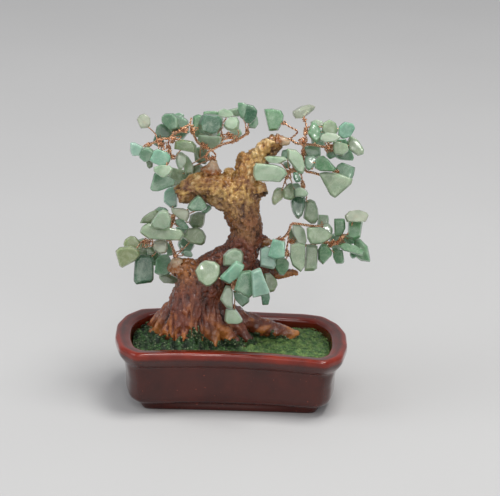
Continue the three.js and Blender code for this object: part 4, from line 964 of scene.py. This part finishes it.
# Stones that stand out from the common greens: a tone, and face-on spots (x, z) on those stones.
MARKED_CHIPS = {
    "dark": [(30, 96), (-42, 62), (-12, 134), (28.7, 110), (-36, 126), (16, 48), (7, 142)],
    "milk": [(-25.5, 117), (-2.5, 50), (43, 130), (31.5, 82), (38, 139)],
    "pale": [(-33, 111), (0, 40), (16, 112), (19, 118), (28, 118), (-2, 69), (-33, 87), (-13, 127),
             (30, 103)],
    "sky": [(-30, 99), (13, 58), (16, 70), (47, 87), (-47, 121)],
    "clear": [(28, 142), (33, 145), (-25, 91), (-34, 74), (-43, 136), (59, 93)],
    "turquoise": [(1, 62), (21, 74), (-34, 118), (51, 134)],
    "olive": [(-39, 88), (-40, 116), (26, 103), (47, 107), (-24, 124), (18, 57), (-18, 80), (-17, 88)],
    "gold": [(-48, 75), (-49, 69), (20, 101)],
    "sage": [(-12, 61), (43, 134), (36, 70), (30, 70), (40, 82), (-34, 80), (50, 124), (-26, 109), (56, 126),
             (-30, 57), (47, 105)],
    "jade": [(-33, 65), (-30, 136), (6, 58), (51, 113)],
    "green": [(57, 86), (61, 75), (44, 72), (51, 71), (50, 86), (23, 65), (36.5, 132), (40, 116), (55, 77)],
}


def solids_of(node):
    """The corners of each chip in a twig's CAD node, once its thin wire is left out.

    Chips that touch meet along hollow edges, so a chip is the faces reached without crossing one.
    """
    bm = welded(node)
    tree = BVHTree.FromBMesh(bm)
    wires = []
    for face in bm.faces:
        start = face.calc_center_median() - face.normal * 0.01 * MM
        hit = tree.ray_cast(start, -face.normal)
        if hit[0] is not None and hit[3] < WIRE_THICKNESS * MM:
            wires.append(face)
    bmesh.ops.delete(bm, geom=wires, context="FACES")
    chips, seen = [], set()
    for face in bm.faces:
        if face in seen:
            continue
        corners, open_faces = {}, [face]  # a dict, because a set's order changes from run to run
        seen.add(face)
        while open_faces:
            current = open_faces.pop()
            corners.update(dict.fromkeys(current.verts))
            for edge in current.edges:
                if len(edge.link_faces) != 2 or edge.calc_face_angle_signed() < HOLLOW_EDGE:
                    continue
                for other in edge.link_faces:
                    if other not in seen:
                        seen.add(other)
                        open_faces.append(other)
        island = np.array([vert.co for vert in corners]) / MM
        if len(island) > 7 and np.sort(np.ptp(island, axis=0))[1] > SMALLEST_CHIP:
            chips.append(island)
    bm.free()
    return chips


def hull_of(points, bm):
    """Adds the hull of points, in millimetres, to a bmesh and gives its faces' numbers."""
    fresh = bmesh.new()
    for point in points:
        fresh.verts.new(point * MM)
    bmesh.ops.convex_hull(fresh, input=fresh.verts)
    spare = [vert for vert in fresh.verts if not vert.link_faces]
    bmesh.ops.delete(fresh, geom=spare, context="VERTS")
    bmesh.ops.remove_doubles(fresh, verts=fresh.verts, dist=0.25 * MM)
    flat = math.radians(13)
    bmesh.ops.dissolve_limit(fresh, angle_limit=flat, verts=fresh.verts, edges=fresh.edges)
    before = len(bm.faces)
    part = bpy.data.meshes.new("part")
    fresh.to_mesh(part)
    fresh.free()
    bm.from_mesh(part)
    bm.faces.ensure_lookup_table()
    return range(before, len(bm.faces))


class Chip:
    """A stone, with `spot` its middle as the face-on (x, z) that MARKED_CHIPS uses."""

    def __init__(self, stem, twig, corners):
        self.stem = stem
        self.twig = twig
        self.corners = corners
        self.centre = (corners.min(0) + corners.max(0)) / 2
        x, y, z = self.centre - TREE_PLACE
        self.spot = (x, z + y * math.tan(VIEW_SLOPE))
        self.tone = None


def find_chips():
    """Every stone of the CAD model with its tone, in the order of the twigs."""
    chips = []
    for stem in STEM_RUNS:
        twigs = [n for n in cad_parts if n.startswith("twig_" + stem)]
        for node in sorted(twigs, key=lambda n: int(n.rsplit("_", 1)[1])):
            solids = solids_of(node)
            if node == BROAD_STONE:
                solids = [np.vstack(solids)]
            chips += [Chip(stem, node, corners) for corners in solids]
    for i, chip in enumerate(chips):
        chip.tone = COMMON_TONES[(i * 7 + i // 5) % len(COMMON_TONES)]
    for tone, spots in MARKED_CHIPS.items():
        for x, z in spots:
            def remoteness(chip):
                return math.hypot(chip.spot[0] - x, chip.spot[1] - z) + 0.12 * (chip.centre[1] + 20)
            min(chips, key=remoteness).tone = tone
    return chips


def make_stones(twig, chips, cloudy, clear):
    """One twig's tumbled chips: rounded hulls with gently uneven faces."""
    bm = bmesh.new()
    owners = []
    for chip in chips:
        owners += [chip] * len(hull_of(chip.corners, bm))
    coarse = bpy.data.meshes.new(twig)
    bm.to_mesh(coarse)
    bm.free()
    draw = random.Random(twig)
    shades = {chip: draw.uniform(0.86, 1.14) for chip in chips}
    tones = [[v * shades[owner] for v in linear(*CHIP_TONES[owner.tone])] for owner in owners]
    write_attribute(coarse, "tone", np.array(tones, np.float32), "FACE")
    coarse.materials.append(cloudy)
    coarse.materials.append(clear)
    coarse.polygons.foreach_set("material_index", [int(owner.tone == "clear") for owner in owners])
    bevel = {"width": EDGE_ROUND * MM, "segments": 2, "limit_method": "ANGLE",
             "angle_limit": math.radians(12)}
    mesh = evaluated(coarse, ("BEVEL", bevel), ("SUBSURF", {"levels": 2, "render_levels": 2}))
    points, normals = points_of(mesh), normals_of(mesh)
    waves = rough_noise(points, 3.2, 2)
    uneven = points + normals * (STONE_WAVES * waves)[:, None]
    mesh.vertices.foreach_set("co", (uneven * MM).astype(np.float32).ravel())
    mesh.polygons.foreach_set("use_smooth", [True] * len(mesh.polygons))
    declare(link(bpy.data.objects.new(twig + "_chips", mesh)), [twig])


def coil(line, at, turns, radius, pitch):
    """A route wound round a line, from `turns` before its point number `at` up to that point."""
    across, up = carried_frames(line)
    steps = np.arange(int(turns * 8) + 1)
    along = (steps - steps[-1]) * pitch / 8
    spacing = np.linalg.norm(line[1] - line[0])
    places = np.clip(at + along / spacing, 0, len(line) - 1)
    route = []
    for step, place in zip(steps, places):
        i = int(place)
        turn = step * math.pi / 4
        centre = line[i] + (line[min(i + 1, len(line) - 1)] - line[i]) * (place - i)
        route.append(centre + radius * (across[i] * math.cos(turn) + up[i] * math.sin(turn)))
    return route


def make_twig_wires(twig, chips, material, number):
    """Twisted pairs that wind off the stem, one to the middle of each chip of a twig."""
    stem = chips[0].stem
    lines = [evenly(catmull_rom(line, 8), 0.6) for line in stem_lines(stem)]
    mouth, _ = socket_of(stem)
    draw = np.random.default_rng(number)
    parts = []
    best = None
    for line in lines:
        clear = np.linalg.norm(line - mouth, axis=1) > 4
        for chip in chips:
            reach = np.where(clear, np.linalg.norm(line - chip.centre, axis=1), 1e9)
            if best is None or reach.min() < best[0]:
                best = (reach.min(), line, int(reach.argmin()))
    _, line, at = best             # the run that comes nearest to the twig, and where
    for i, chip in enumerate(chips):
        start = int(np.clip(at + draw.integers(-2, 3), 0, len(line) - 1))
        root = line[start]
        arm = chip.centre - root
        wound = coil(line, start, draw.uniform(1.2, 2.6), draw.uniform(0.75, 0.95), draw.uniform(0.7, 1.1))
        knee = root + arm * 0.3 + draw.normal(scale=0.7, size=3)
        elbow = root + arm * 0.65 + draw.normal(scale=0.6, size=3)
        route = [*wound, knee, elbow, chip.centre]
        parts += twisted(route, *TWIG_PAIR, 2.0, 0.26, phase=i * 1.1)
    points, faces, crown = joined(parts)
    make_piece(twig + "_wire", points, faces, material, (), {"crown": crown})


# ---- The whole tree ----


def build():
    make_camera()
    make_studio()
    make_pot(oxblood_glaze())
    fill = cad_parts["planting_fill"]
    fill.data.materials.clear()
    fill.data.materials.append(plaster())

    trunk_tree, points, normals, relief = make_trunk(painted_bark())
    make_moss_bed(moss_flock("moss_ground", 0.6), trunk_tree)
    flock = moss_flock("moss_flakes", 0.3)
    scatter("moss_flakes_left", flock, ground_flakes(6000, -48, 2, (0.4, 1.0), trunk_tree))
    scatter("moss_flakes_right", flock, ground_flakes(5200, 2, 48, (0.2, 0.45), trunk_tree))
    scatter("moss_flakes_roots", flock, root_flakes(points, normals, relief, 8000))

    wire, glue = copper(), hot_melt()
    for stem in STEM_RUNS:
        make_stem(stem, wire)
        make_glue(stem, glue)
    cloudy, clear = aventurine("aventurine", 0.85, 0.0), aventurine("aventurine_clear", 0.3, 0.6)
    chips = find_chips()
    for number, twig in enumerate(sorted({chip.twig for chip in chips})):
        own = [chip for chip in chips if chip.twig == twig]
        make_stones(twig, own, cloudy, clear)
        make_twig_wires(twig, own, wire, number)


build()
